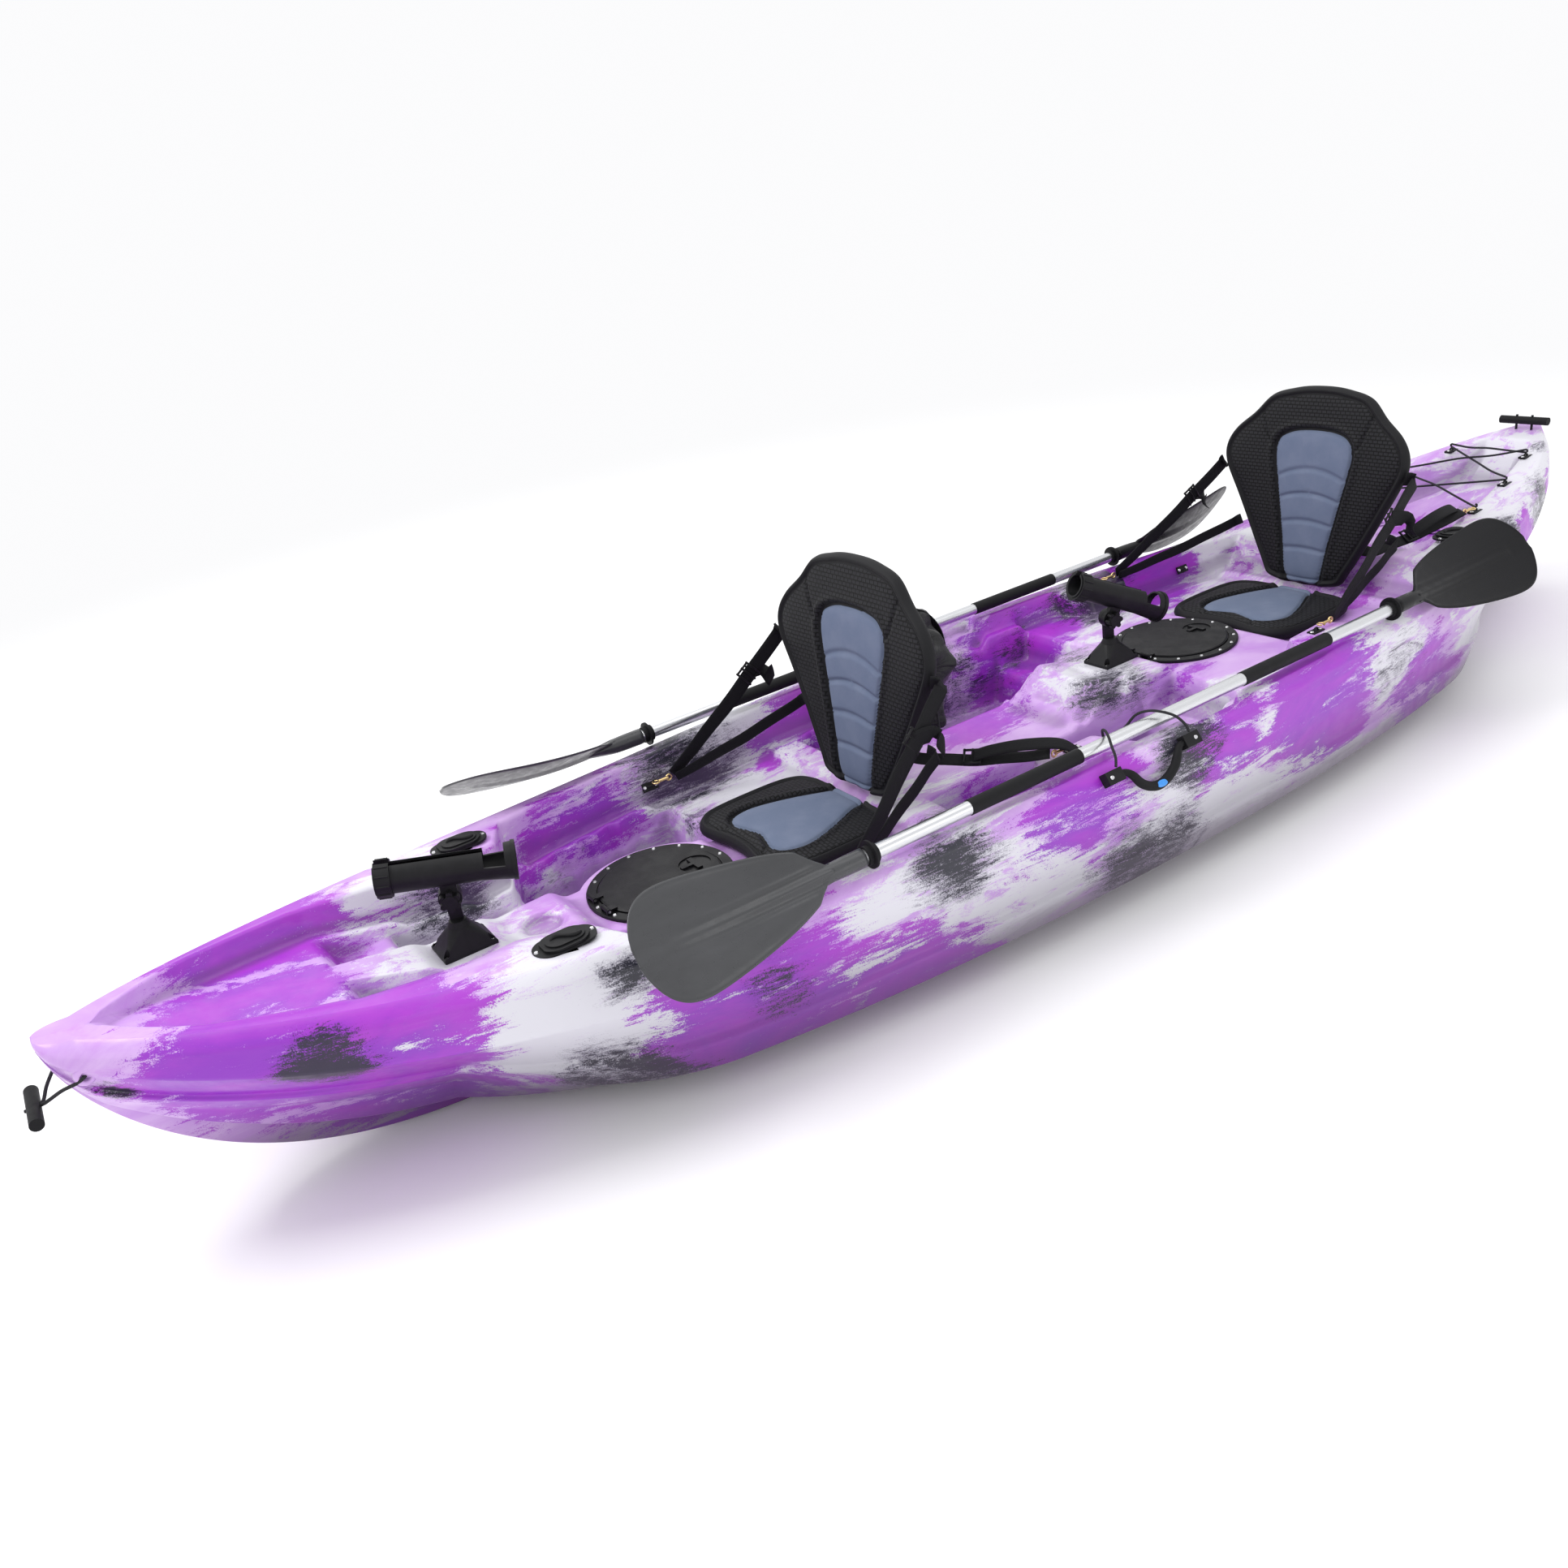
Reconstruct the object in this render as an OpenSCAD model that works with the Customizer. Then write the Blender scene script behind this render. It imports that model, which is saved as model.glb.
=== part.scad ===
// Two-seat sit-on-top fishing kayak with seats, hatches, rod holders and two paddles.
// Bow towards -Y, port side +X, +Z up, origin under the middle of the keel.

/* [Hull] */
// Overall length of the moulded hull
hull_len = 3700; // [3500:10:3900]
// Greatest width of the hull
beam = 860; // [800:10:900]
// Height of the side rails amidships
rail_z = 305; // [300:1:310]
// How far the rail climbs at the bow
bow_rise = 90; // [70:5:110]
// How far the rail climbs at the stern
stern_rise = 120; // [100:5:140]
// Thickness of the moulded wall
wall = 6; // [5:0.5:7]
// Distance of the hull's middle behind the origin
hull_mid_y = 12; // [0:1:20]

/* [Hatches] */
// Distance of the front hatch ahead of the origin
front_hatch_y = -867; // [-870:1:-860]
// Distance of the rear hatch behind the origin
rear_hatch_y = 460; // [455:1:465]
// Outside radius of the hatch flange
hatch_r = 134; // [130:1:136]
// Radius of the hatch lid
lid_r = 112.5; // [110:0.5:113]

/* [Seats] */
// Hinge line of the front seat
front_seat_y = -436; // [-440:1:-430]
// Hinge line of the rear seat
rear_seat_y = 887; // [885:1:890]
// Angle that a seat back leans back at rest
seat_lean = 8; // [4:1:12]
// Height of a seat back
back_h = 450; // [430:5:460]

/* [Rod holders] */
// Middle of the front rod holder
front_rod_y = -1228; // [-1232:1:-1224]
// Middle of the rear rod holder
rear_rod_y = 262; // [258:1:266]
// Turn of the front holder about its post
front_rod_turn = -20; // [-40:1:0]
// Turn of the rear holder about its post
rear_rod_turn = -14; // [-40:1:0]
// Inside radius of a rod tube
rod_bore_r = 22; // [20:0.5:23]

/* [Paddles] */
// Length of one paddle
paddle_len = 2200; // [2180:10:2220]
// Outside radius of the aluminium shaft
shaft_r = 12.5; // [12:0.5:13]
// Distance of each paddle from the centre line
paddle_x = 381; // [379:1:383]
// Turn of the parked blades about the shaft
blade_roll = -50; // [-55:1:-45]
// Turn of the front blade of the starboard paddle
far_blade_roll = -30; // [-35:1:-25]

/* [Hidden] */
$fn = 64;

half_len = hull_len / 2;
bow_top = rail_z + bow_rise;
stern_top = rail_z + stern_rise;
run_fit = 0.05; // radial clearance of a pin that turns in its bore
skin = 0.3;     // air left between two pieces that lie against each other

// Heights of the moulded levels
front_deck_z = 215;
rear_deck_z = 248;
rear_pad_z = 268;
front_pad_z = 256;
seat_floor = 200;
rear_floor = 222;
footwell_z = 108;

function lerp(a, b, t) = a + (b - a) * t;
function unit(t) = min(1, max(0, t));
// 0 amidships, 1 at either end of the hull
function reach(y) = min(1, abs(y - hull_mid_y) / half_len);
// Half the hull's width at a station
function half_w(y) = beam / 2 * pow(max(0, 1 - pow(reach(y), 2.2)), 0.7);
// Height of the rail
function sheer(y) =
    rail_z + (y < 0 ? bow_rise : stern_rise) * pow(max(0, (reach(y) - 0.38) / 0.62), 1.8);
// Height of the keel line: flat, then swept up to a blunt stem at each end
function sweep(s, e) = 1 - pow(1 - pow(unit(s), 2.5), e);
function keel(y) =
    y < 0 ? (bow_top - 5) * sweep((-y - 1200) / (half_len - hull_mid_y - 1200), 0.6)
          : (stern_top - 5) * sweep((y - 1610) / (half_len + hull_mid_y - 1610), 0.5);
// Height and half width of the lower chine
function chine_z(y) =
    max(40 + 0.75 * (sheer(y) - 40) * pow(reach(y), 4), lerp(keel(y), sheer(y), 0.2));
function chine_x(y) =
    max(half_w(y) - 8 - 160 * pow(max(0, (abs(y - hull_mid_y) - 950) / 410), 1.7), 0.42 * half_w(y));

// Width of the rail from the hull's edge to the wells, by station
RAIL_W = [[-1760, 34], [-1430, 60], [-1250, 112], [-1190, 138], [-1085, 138], [-1045, 62], [-980, 55],
          [-262, 55], [-236, 135], [-96, 135], [-70, 55], [440, 55], [480, 135], [596, 135], [640, 72],
          [900, 62], [1000, 84], [1060, 138], [1250, 132], [1500, 100], [1740, 56]];
function rail_in(y) = half_w(y) - min(lookup(y, RAIL_W), 0.55 * half_w(y));
// Height of the middle deck by station, bow to stern
DECK_Z = [[-1760, 368], [-1600, 325], [-1430, 302], [-1300, 272], [-1276, front_pad_z],
          [-1178, front_pad_z], [-1150, 240], [-1040, 238], [-1015, front_deck_z], [-732, front_deck_z],
          [-718, seat_floor], [-426, seat_floor], [-404, 215], [40, 213], [128, 284], [200, rear_pad_z],
          [312, rear_pad_z], [322, rear_deck_z], [595, rear_deck_z], [600, rear_floor], [905, rear_floor],
          [930, 236]];
// Half width of the middle deck between the footwells
FRONT_STRIP = [[-1430, 30], [-1250, 60], [-1100, 84], [-1020, 95], [-690, 95]];
function strip_x(y) =
    y > -420 ? 112
             : max(lookup(y, FRONT_STRIP), sqrt(max(0, 152 * 152 - pow(y - front_hatch_y, 2))));
// A well is 1 on its floor, 0 outside its rim and slopes over its walls
function well(z_top, z_floor, depth) = lerp(z_top, z_floor, unit(depth));
// Footwells: start, end, wall run at the bow end, wall run at the stern end, floor height
FOOTWELLS = [[-1430, -1270, 26, 20, 258], [-1318, -1042, 24, 20, 206],
             [-1072, -692, 42, 26, footwell_z], [-348, 236, 46, 30, footwell_z],
             [206, 322, 20, 16, 186]];
function foot_x(y) = rail_in(y) - 38;
function foot_depth(f, a, y) =
    min((a - strip_x(y)) / 14, (foot_x(y) - a) / 14, (y - f[0]) / f[2], (f[1] - y) / f[3]);
function dig(z, a, y, i = 0) =
    i >= len(FOOTWELLS)
        ? z
        : dig(min(z, well(z, FOOTWELLS[i][4], foot_depth(FOOTWELLS[i], a, y))), a, y, i + 1);
// Height of the deck at distance a from the centre line
function cockpit_depth(a, y) = min((rail_in(y) - a) / 18, (y + 1760) / 60, (1000 - y) / 42);
function tank_depth(a, y) = min((rail_in(y) - a) / 22, (y - 1058) / 42, (1735 - y) / 90);
function deck_z(a, y) =
    y > 1030
        ? well(sheer(y), lookup(y, [[1058, 262], [1735, 318]]), tank_depth(a, y))
        : dig(well(sheer(y), lookup(y, DECK_Z), cockpit_depth(a, y)), a, y);

// One side of a hull section from the keel to the rail
function side_points(y) =
    let (w = half_w(y), k = min(1, w / 60), zk = keel(y), zc = chine_z(y), zs = sheer(y))
    let (xc = chine_x(y), zu = lerp(zc, zs, 0.6), e = pow(reach(y), 3))
    [[0, zk], [min(34, 0.12 * w), zk], [xc * 0.42, lerp(zk, zc, 0.8)],
     [xc * 0.74, lerp(zk, zc, 0.3 + 0.4 * e)], [xc, zc],
     [lerp(xc, w, 0.30) + 5 * k, lerp(zc, zu, 0.34)], [lerp(xc, w, 0.36) - k, lerp(zc, zu, 0.42)],
     [w, zu], [w - 5 * k, zs - min(24, 0.5 * (zs - zu))], [w - 22 * k, zs]];
// Stops across the deck of the same side, from the rail to the middle
function deck_xs(y) =
    let (r = rail_in(y), k = min(1, r / 70))
    let (f = max(foot_x(y), 0.55 * r), s = min(strip_x(y), 0.3 * r + 60, 0.8 * f), q = min(14, (f - s) / 4))
    [r, r - 18 * k, min(f, r - 20 * k), min(f - q, r - 21 * k), s + q, s, 0];
function hull_half(y) = concat(side_points(y), [for (a = deck_xs(y)) [a, deck_z(a, y)]]);
function ring(h, y) =
    concat([for (p = h) [p[0], y, p[1]]], [for (i = [len(h) - 2:-1:1]) [-h[i][0], y, h[i][1]]]);

// A closed skin through the given rings
module lofted(rings) {
    n = len(rings[0]);
    last = len(rings) - 1;
    sides = [for (i = [0:last - 1], j = [0:n - 1])
                [i * n + j, i * n + (j + 1) % n, (i + 1) * n + (j + 1) % n, (i + 1) * n + j]];
    split = concat([for (q = sides) [q[0], q[1], q[2]]], [for (q = sides) [q[0], q[2], q[3]]]);
    front = [for (j = [n - 1:-1:0]) j];
    back = [for (j = [0:n - 1]) last * n + j];
    polyhedron(points = [for (r = rings) each r], faces = concat(split, [front, back]), convexity = 10);
}

HULL_STATIONS = [-1834, -1822, -1800, -1760, -1700, -1600, -1490, -1430, -1404, -1318, -1294, -1276, -1240,
                 -1178, -1150, -1085, -1062, -1042, -1015, -980, -920, -867, -814, -754, -732, -718, -692, -560, -426,
                 -404, -348, -302, -262, -236, -96, -70, 40, 128, 206, 236, 312, 322, 440, 480, 595, 600,
                 640, 780, 905, 958, 1000, 1058, 1100, 1250, 1400, 1560, 1645, 1735, 1780, 1820, 1845, 1859];

// The hollow inside: each ring keeps clear of the skin all the way to the rings beside it
HOLLOW_STATIONS = [-1520, -1470, -1400, -1330, -1260, -1190, -1140, -1100, -1070, -1030, -990, -930,
                   -867, -800, -745, -690, -620, -560, -500, -440, -380, -330, -250, -150, -60, 30, 90,
                   150, 230, 330, 380, 453, 530, 590, 640, 760, 900, 950, 1040, 1110, 1250, 1400, 1480,
                   1560];
hollow_gap = wall + 5;
function stops(i) =
    let (a = HOLLOW_STATIONS[max(0, i - 1)], b = HOLLOW_STATIONS[min(len(HOLLOW_STATIONS) - 1, i + 1)])
    [for (k = [0:8]) lerp(a, b, k / 8)];
function low_deck(a, b, ys) = min([for (y = ys, x = [a, (a + b) / 2, b]) deck_z(x, y)]) - hollow_gap;
function hollow_half(i) =
    let (ys = stops(i), w = min([for (y = ys) half_w(y)]) - hollow_gap)
    let (zk = max([for (y = ys) keel(y)]) + hollow_gap, zc = max([for (y = ys) chine_z(y)]) + hollow_gap)
    let (xc = min([for (y = ys) chine_x(y)]) - hollow_gap, rail = max([for (y = ys) rail_in(y)]) + hollow_gap)
    let (r = min(rail, w - 34), top = min([for (y = ys) sheer(y)]) - hollow_gap)
    let (f = min(max([for (y = ys) foot_x(y)]) + hollow_gap, r - 12))
    let (s = min(min([for (y = ys) strip_x(y)]) - hollow_gap, f - 24))
    let (shelf = low_deck(f - hollow_gap, r, ys), floor_z = low_deck(s + hollow_gap, f, ys))
    let (strip_z = low_deck(0, s, ys), zs = rail > r ? min(top, shelf) : top)
    [[0, zk], [xc * 0.42, lerp(zk, zc, 0.85)], [xc * 0.9, zc], [lerp(xc, w, 0.8) - 10, lerp(zc, zs, 0.5)], [w - 26, zs],
     [r, zs], [r - 4, shelf], [f, shelf], [f - 4, min(shelf, floor_z)], [s + 4, min(strip_z, floor_z)],
     [s, strip_z], [0, strip_z]];

// Scupper holes drain the footwells and the tank well
SCUPPERS = [[225, -860, footwell_z], [-225, -860, footwell_z], [235, -60, footwell_z],
            [-235, -60, footwell_z], [75, 1300, 283], [-75, 1300, 283]];
scupper_r = 14;
// Flush rod tubes: centre of the mouth, lean along the boat
FLUSH = [[232, -1136, -20], [-232, -1136, -20], [206, 1160, -20], [-206, 1160, -20]];
flush_r = 25;
flush_len = 150;
flush_screw_y = 46.5;
function flush_z(f) = sheer(f[1]) + 1;
recess_y = -1094;
drain_y = 1600;
drain_z = 318;
plug_r = 8.7;       // body of the drain plug, in its hole of 9 mm radius
toggle_hole_y = -1790;
toggle_hole_z = 338;
stern_rope_y = 1800;

module scupper_tubes() {
    for (s = SCUPPERS)
        translate([s[0], s[1], keel(s[1]) + 8]) cylinder(h = s[2] - 11 - keel(s[1]), r = scupper_r + 5, $fn = 24);
}

module hull_shell() {
    color([0.62, 0.30, 0.78])
        difference() {
            union() {
                difference() {
                    lofted([for (y = HULL_STATIONS) ring(hull_half(y), y)]);
                    lofted([for (i = [0:len(HOLLOW_STATIONS) - 1]) ring(hollow_half(i), HOLLOW_STATIONS[i])]);
                }
                scupper_tubes();
                translate([0, recess_y, 222]) cylinder(h = 15, r = 38, $fn = 32);
                translate([-half_w(drain_y) + 2, drain_y, drain_z]) rotate([0, 90, 0]) cylinder(h = 16, r = 20, $fn = 24);
            }
            for (s = SCUPPERS) translate([s[0], s[1], -5]) cylinder(h = 300, r = scupper_r, $fn = 24);
            for (h = [[front_hatch_y, front_deck_z], [rear_hatch_y, rear_deck_z]])
                translate([0, h[0], h[1] - 24]) cylinder(h = 42, r = 101, $fn = 48);
            for (f = FLUSH)
                translate([f[0], f[1], flush_z(f)]) rotate([f[2], 0, 0])
                    translate([0, 0, -flush_len - 2]) cylinder(h = flush_len + 32, r = flush_r + 1, $fn = 24);
            translate([0, recess_y, 226]) cylinder(h = 40, r = 33, $fn = 32);
            translate([-half_w(drain_y) - 10, drain_y, drain_z]) rotate([0, 90, 0]) cylinder(h = 40, r = 9, $fn = 24);
            translate([-half_w(drain_y) - 10, drain_y, drain_z]) rotate([0, 90, 0]) cylinder(h = 16, r = 17, $fn = 24);
            translate([-100, toggle_hole_y, toggle_hole_z]) rotate([0, 90, 0]) cylinder(h = 200, r = 6, $fn = 16);
            for (x = [-20, 20]) translate([x, stern_rope_y, stern_top - 60]) cylinder(h = 90, r = 5, $fn = 16);
        }
}

// ---- hatches -------------------------------------------------------------

hinge_y = -121;     // hinge line of a lid, from the hatch's centre
hinge_z = 12.5;     // height of the hinge line over the deck
screw_ring_r = 125;
screw_head_h = 1.6;
knuckle_x = 28;
seal_z = 3.1;
lid_z = 5.2;
latch_y = 72;

module at_hatches() {
    for (h = [[front_hatch_y, front_deck_z], [rear_hatch_y, rear_deck_z]]) translate([0, h[0], h[1]]) children();
}

module along_x(h, r) {
    rotate([0, 90, 0]) cylinder(h = h, r = r, center = true);
}

module hatch_ring() {
    difference() {
        union() {
            rotate_extrude()
                polygon([[90, 0], [96, 0], [96, -26], [100, -26], [100, 0], [hatch_r, 0], [hatch_r, 5],
                         [hatch_r - 1.5, 6.5], [lid_r + 2.5, 6.5], [lid_r + 2.5, 3], [90, 3]]);
            for (x = [-1, 1] * knuckle_x, e = [-11, 11])
                translate([x + e, hinge_y, hinge_z]) {
                    along_x(5, 4.5);
                    translate([0, 0, -5]) cube([5, 9, 10], center = true);
                }
        }
        for (x = [-1, 1] * knuckle_x) translate([x, hinge_y, hinge_z]) along_x(40, 2.5);
        for (a = [0:22.5:359]) rotate([0, 0, a]) translate([screw_ring_r, 0, -1]) cylinder(h = 9, r = 2.1);
    }
}

module hatch_rings() {
    color([0.07, 0.07, 0.08]) at_hatches() hatch_ring();
}

module hatch_seals() {
    color([0.02, 0.02, 0.02])
        at_hatches() rotate_extrude() translate([103, seal_z]) square([6, lid_z - seal_z - 0.1]);
}

module hatch_screws() {
    color("silver")
        at_hatches()
            for (a = [0:22.5:359])
                rotate([0, 0, a]) translate([screw_ring_r, 0, 0]) {
                    translate([0, 0, 6.5]) cylinder(h = screw_head_h, r1 = 3.6, r2 = 2.6);
                    translate([0, 0, -9]) cylinder(h = 15.6, r = 2);
                }
}

module hatch_hinge_pins() {
    color("silver")
        at_hatches() for (x = [-1, 1] * knuckle_x) translate([x, hinge_y, hinge_z]) along_x(27, 2.5);
}

module hatch_lid() {
    difference() {
        union() {
            translate([0, 0, lid_z]) cylinder(h = 3, r = lid_r);
            translate([0, 0, lid_z + 3]) cylinder(h = 1.2, r1 = lid_r - 1, r2 = lid_r - 3);
            translate([0, 0, -7]) difference() {
                cylinder(h = 7 + lid_z + 1, r = 88);
                translate([0, 0, -1]) cylinder(h = 8 + lid_z, r = 85);
            }
            for (x = [-1, 1] * knuckle_x) {
                translate([x, hinge_y, hinge_z]) along_x(16, 4.5);
                translate([x - 8, hinge_y, lid_z + 2.2]) cube([16, 18, 5]);
            }
            translate([0, latch_y, lid_z - 6]) cylinder(h = 7, r = 9);
        }
        for (x = [-1, 1] * knuckle_x) translate([x, hinge_y, hinge_z]) along_x(20, 2.5 + run_fit);
        translate([0, latch_y, -9]) cylinder(h = 30, r = 5 + run_fit);
        translate([0, latch_y, lid_z + 1.8]) cylinder(h = 5, r = 30);
    }
}

// A T-shaped turning latch: bar and tail above the lid, cam below it
module hatch_latch() {
    translate([0, latch_y, 0]) {
        translate([0, 0, -6.5]) cylinder(h = lid_z + 11, r = 5);
        translate([-22, -5, lid_z + 2]) cube([44, 10, 4]);
        translate([-4.5, -28, lid_z + 2]) cube([9, 28, 4]);
        translate([-5, -5, -6.5]) cube([10, 15, 4]);
    }
}

module front_hatch_lid() {
    color([0.08, 0.08, 0.09]) translate([0, front_hatch_y, front_deck_z]) hatch_lid();
}
module rear_hatch_lid() {
    color([0.08, 0.08, 0.09]) translate([0, rear_hatch_y, rear_deck_z]) hatch_lid();
}
module front_hatch_latch() {
    color([0.05, 0.05, 0.05]) translate([0, front_hatch_y, front_deck_z]) hatch_latch();
}
module rear_hatch_latch() {
    color([0.05, 0.05, 0.05]) translate([0, rear_hatch_y, rear_deck_z]) hatch_latch();
}

// ---- rod holders -----------------------------------------------------------

tilt_h = 96;        // height of the tilt bolt over the deck
tube_h = 48;        // height of the tube's axis over the tilt bolt
ear_r = 19;
rod_wall = 4;
collar_y = -96;     // middle of the locking collar along the tube
FRONT_ROD = [front_rod_y, front_pad_z, front_rod_turn, 6];
REAR_ROD = [rear_rod_y, rear_pad_z, rear_rod_turn, 26];

module at_rod(r) {
    translate([0, r[0], r[1]]) rotate([0, 0, r[2]]) children();
}

// Places the tube's own frame at the tilt bolt, bow end raised
module at_tube(r) {
    at_rod(r) translate([0, 0, tilt_h]) rotate([-r[3], 0, 0]) children();
}

module rod_base() {
    difference() {
        hull() {
            translate([-34, -46, 0]) cube([68, 92, 6]);
            translate([0, 0, 30]) cylinder(h = 12, r = 19, $fn = 32);
        }
        translate([0, 0, 8]) cylinder(h = 50, r = 12 + run_fit);
        for (x = [-27, 27], y = [-39, 39]) {
            translate([x, y, -1]) cylinder(h = 12, r = 2.6);
            translate([x, y, 6]) cylinder(h = 40, r = 5.5);
        }
    }
}

module rod_holder_bases() {
    color([0.06, 0.06, 0.06]) for (r = [FRONT_ROD, REAR_ROD]) translate([0, r[0], r[1]]) rod_base();
}

module rod_post(r) {
    color([0.07, 0.07, 0.07]) at_rod(r) difference() {
        union() {
            translate([0, 0, 9]) cylinder(h = 42, r = 12);
            translate([0, 0, 42.3]) cylinder(h = 10, r1 = 19, r2 = 14);
            translate([-11, -11, 50]) cube([11 - skin, 22, tilt_h - 50]);
            translate([-11, 0, tilt_h]) rotate([0, 90, 0]) cylinder(h = 11 - skin, r = ear_r);
        }
        translate([0, 0, tilt_h]) along_x(60, 4 + run_fit);
    }
}
module front_rod_post() { rod_post(FRONT_ROD); }
module rear_rod_post() { rod_post(REAR_ROD); }

module along_y(h, r1, r2) {
    rotate([-90, 0, 0]) cylinder(h = h, r1 = r1, r2 = r2);
}

module rod_tube(r) {
    o = rod_bore_r + rod_wall;
    color([0.06, 0.06, 0.06]) at_tube(r) difference() {
        union() {
            translate([skin, 0, 0]) rotate([0, 90, 0]) cylinder(h = 11, r = ear_r);
            translate([skin, -13, 0]) cube([11, 26, tube_h - 8]);
            translate([0, -110, tube_h]) along_y(165, o, o);
            translate([0, 55, tube_h]) along_y(50, o, o + 5);
            translate([0, 105, tube_h]) along_y(7, o + 7, o + 7);
        }
        along_x(60, 4 + run_fit);
        translate([0, -111, tube_h]) along_y(170, rod_bore_r, rod_bore_r);
        translate([0, 58, tube_h]) along_y(60, rod_bore_r, rod_bore_r + 7);
        translate([-8, -120, tube_h]) cube([16, 182, 60]);
        translate([-60, 60, tube_h + 4]) cube([120, 34, 60]);
    }
}
module front_rod_tube() { rod_tube(FRONT_ROD); }
module rear_rod_tube() { rod_tube(REAR_ROD); }

module rod_collar(r) {
    o = rod_bore_r + rod_wall;
    color([0.04, 0.04, 0.04]) at_tube(r) translate([0, collar_y - 12, tube_h]) difference() {
        union() {
            along_y(24, o + 5, o + 5);
            for (a = [30:30:330]) rotate([0, a, 0]) translate([0, 2, o + 5]) along_y(20, 1.6, 1.6);
        }
        translate([0, -1, 0]) along_y(30, o + run_fit, o + run_fit);
        translate([-8, -1, 0]) cube([16, 30, 60]);
    }
}
module front_rod_collar() { rod_collar(FRONT_ROD); }
module rear_rod_collar() { rod_collar(REAR_ROD); }

// Lobed knob with the clamp bolt through both ears
module rod_knob(r) {
    color([0.05, 0.05, 0.05]) at_tube(r) {
        translate([2, 0, 0]) along_x(30, 4);
        translate([11 + 2 * skin, 0, 0]) rotate([0, 90, 0]) cylinder(h = 16, r = 12);
        for (a = [0:60:359])
            rotate([a, 0, 0]) translate([14, 0, 13]) rotate([0, 90, 0]) cylinder(h = 12, r = 5);
    }
}
module front_rod_knob() { rod_knob(FRONT_ROD); }
module rear_rod_knob() { rod_knob(REAR_ROD); }

// ---- flush rod tubes and their caps ------------------------------------------

module at_flush(f) {
    translate([f[0], f[1], flush_z(f)]) children();
}

module oval(half, r, h) {
    hull() for (y = [-half, half]) translate([0, y, 0]) cylinder(h = h, r = r, $fn = 32);
}

module flush_tube(f) {
    at_flush(f) difference() {
        union() {
            oval(24, 28, 4);
            rotate([f[2], 0, 0]) translate([0, 0, -flush_len]) cylinder(h = flush_len - 8, r = flush_r);
        }
        rotate([f[2], 0, 0]) translate([0, 0, 6 - flush_len]) cylinder(h = flush_len + 20, r = rod_bore_r);
        for (y = [-1, 1] * flush_screw_y) translate([0, y, -1]) cylinder(h = 8, r = 2.1);
    }
}

module flush_rod_tubes() {
    color([0.06, 0.06, 0.06]) for (f = FLUSH) flush_tube(f);
}

// A cap's hinge is at its bow end; the screw at that end stays in view
module flush_cap(f) {
    color([0.09, 0.09, 0.1]) at_flush(f) translate([0, 0, 4 + skin]) {
        difference() {
            oval(13, 27, 4);
            translate([-40, -80, -1]) cube([80, 43, 12]);
        }
        translate([0, 2, 3]) oval(12, 20, 3.5);
    }
}
module port_bow_cap() { flush_cap(FLUSH[0]); }
module starboard_bow_cap() { flush_cap(FLUSH[1]); }
module port_stern_cap() { flush_cap(FLUSH[2]); }
module starboard_stern_cap() { flush_cap(FLUSH[3]); }

// ---- small deck hardware --------------------------------------------------------

// Anchors of one side: place and tilt; the first two pairs hold the front seat's straps
wall_tilt = 66;
anchor_in = 25;     // distance of a deck anchor from the rail's inner edge
ANCHOR_SIDE = [[rail_in(-712) - 14, -712, 245, -wall_tilt], [rail_in(-165) + anchor_in, -165, sheer(-165), 0],
               [rail_in(540) + anchor_in, 540, sheer(540), 0], [rail_in(830) - 13, 830, 262, -wall_tilt],
               [172, 1305, sheer(1305), 0], [143, 1475, sheer(1475), 0], [98, 1640, sheer(1640), 0]];

module pad_eye() {
    difference() {
        translate([-9, -17, -2]) cube([18, 34, 5]);
        for (y = [-12.5, 12.5]) translate([0, y, -3]) cylinder(h = 8, r = 2);
    }
    translate([0, 0, 1]) rotate([90, 0, 90]) rotate_extrude(angle = 180) translate([7.5, 0]) circle(r = 2, $fn = 24);
}

module park_knob() {
    translate([0, 0, -3]) cylinder(h = 11, r = 4);
    translate([0, 0, 8]) cylinder(h = 5, r = 8);
}

PARK_KNOB = [346, -98];

module at_anchors() {
    for (s = [0, 1]) mirror([s, 0, 0])
        for (a = ANCHOR_SIDE) translate([a[0], a[1], a[2]]) rotate([0, a[3], 0]) children();
}

module pad_eyes() {
    color([0.05, 0.05, 0.05]) {
        at_anchors() pad_eye();
        for (s = [-1, 1]) translate([s * PARK_KNOB[0], PARK_KNOB[1], sheer(PARK_KNOB[1])]) park_knob();
    }
}

module pan_screw(len) {
    cylinder(h = 1.8, r1 = 4, r2 = 2.8);
    translate([0, 0, -len]) cylinder(h = len + 0.5, r = 1.9);
}

BRACKET_Y = [-176, 8];
axis_x = 429;       // swing line of a side handle
axis_z = 291;
bracket_tilt = 54.7;

module deck_screws() {
    color("silver") {
        at_anchors() for (y = [-12.5, 12.5]) translate([0, y, 3]) pan_screw(12);
        for (r = [FRONT_ROD, REAR_ROD], x = [-27, 27], y = [-39, 39])
            translate([x, r[0] + y, r[1] + 6]) pan_screw(14);
        for (f = FLUSH, y = [-1, 1] * flush_screw_y) at_flush(f) translate([0, y, 4]) pan_screw(12);
        for (s = [0, 1], e = [0, 1]) mirror([s, 0, 0]) at_bracket(e) translate([0, -13, 8]) pan_screw(28);
    }
}

// ---- seats ----------------------------------------------------------------------

seat_pad_t = 24;
back_t = 28;
hinge_h = seat_floor + 3 + seat_pad_t + 4;     // height of the front seat's fold line
rear_hinge_h = rear_floor + 3 + seat_pad_t + 4;
FRONT_SEAT = [front_seat_y, seat_floor + 3, hinge_h];
REAR_SEAT = [rear_seat_y, rear_floor + 3, rear_hinge_h];

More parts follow.
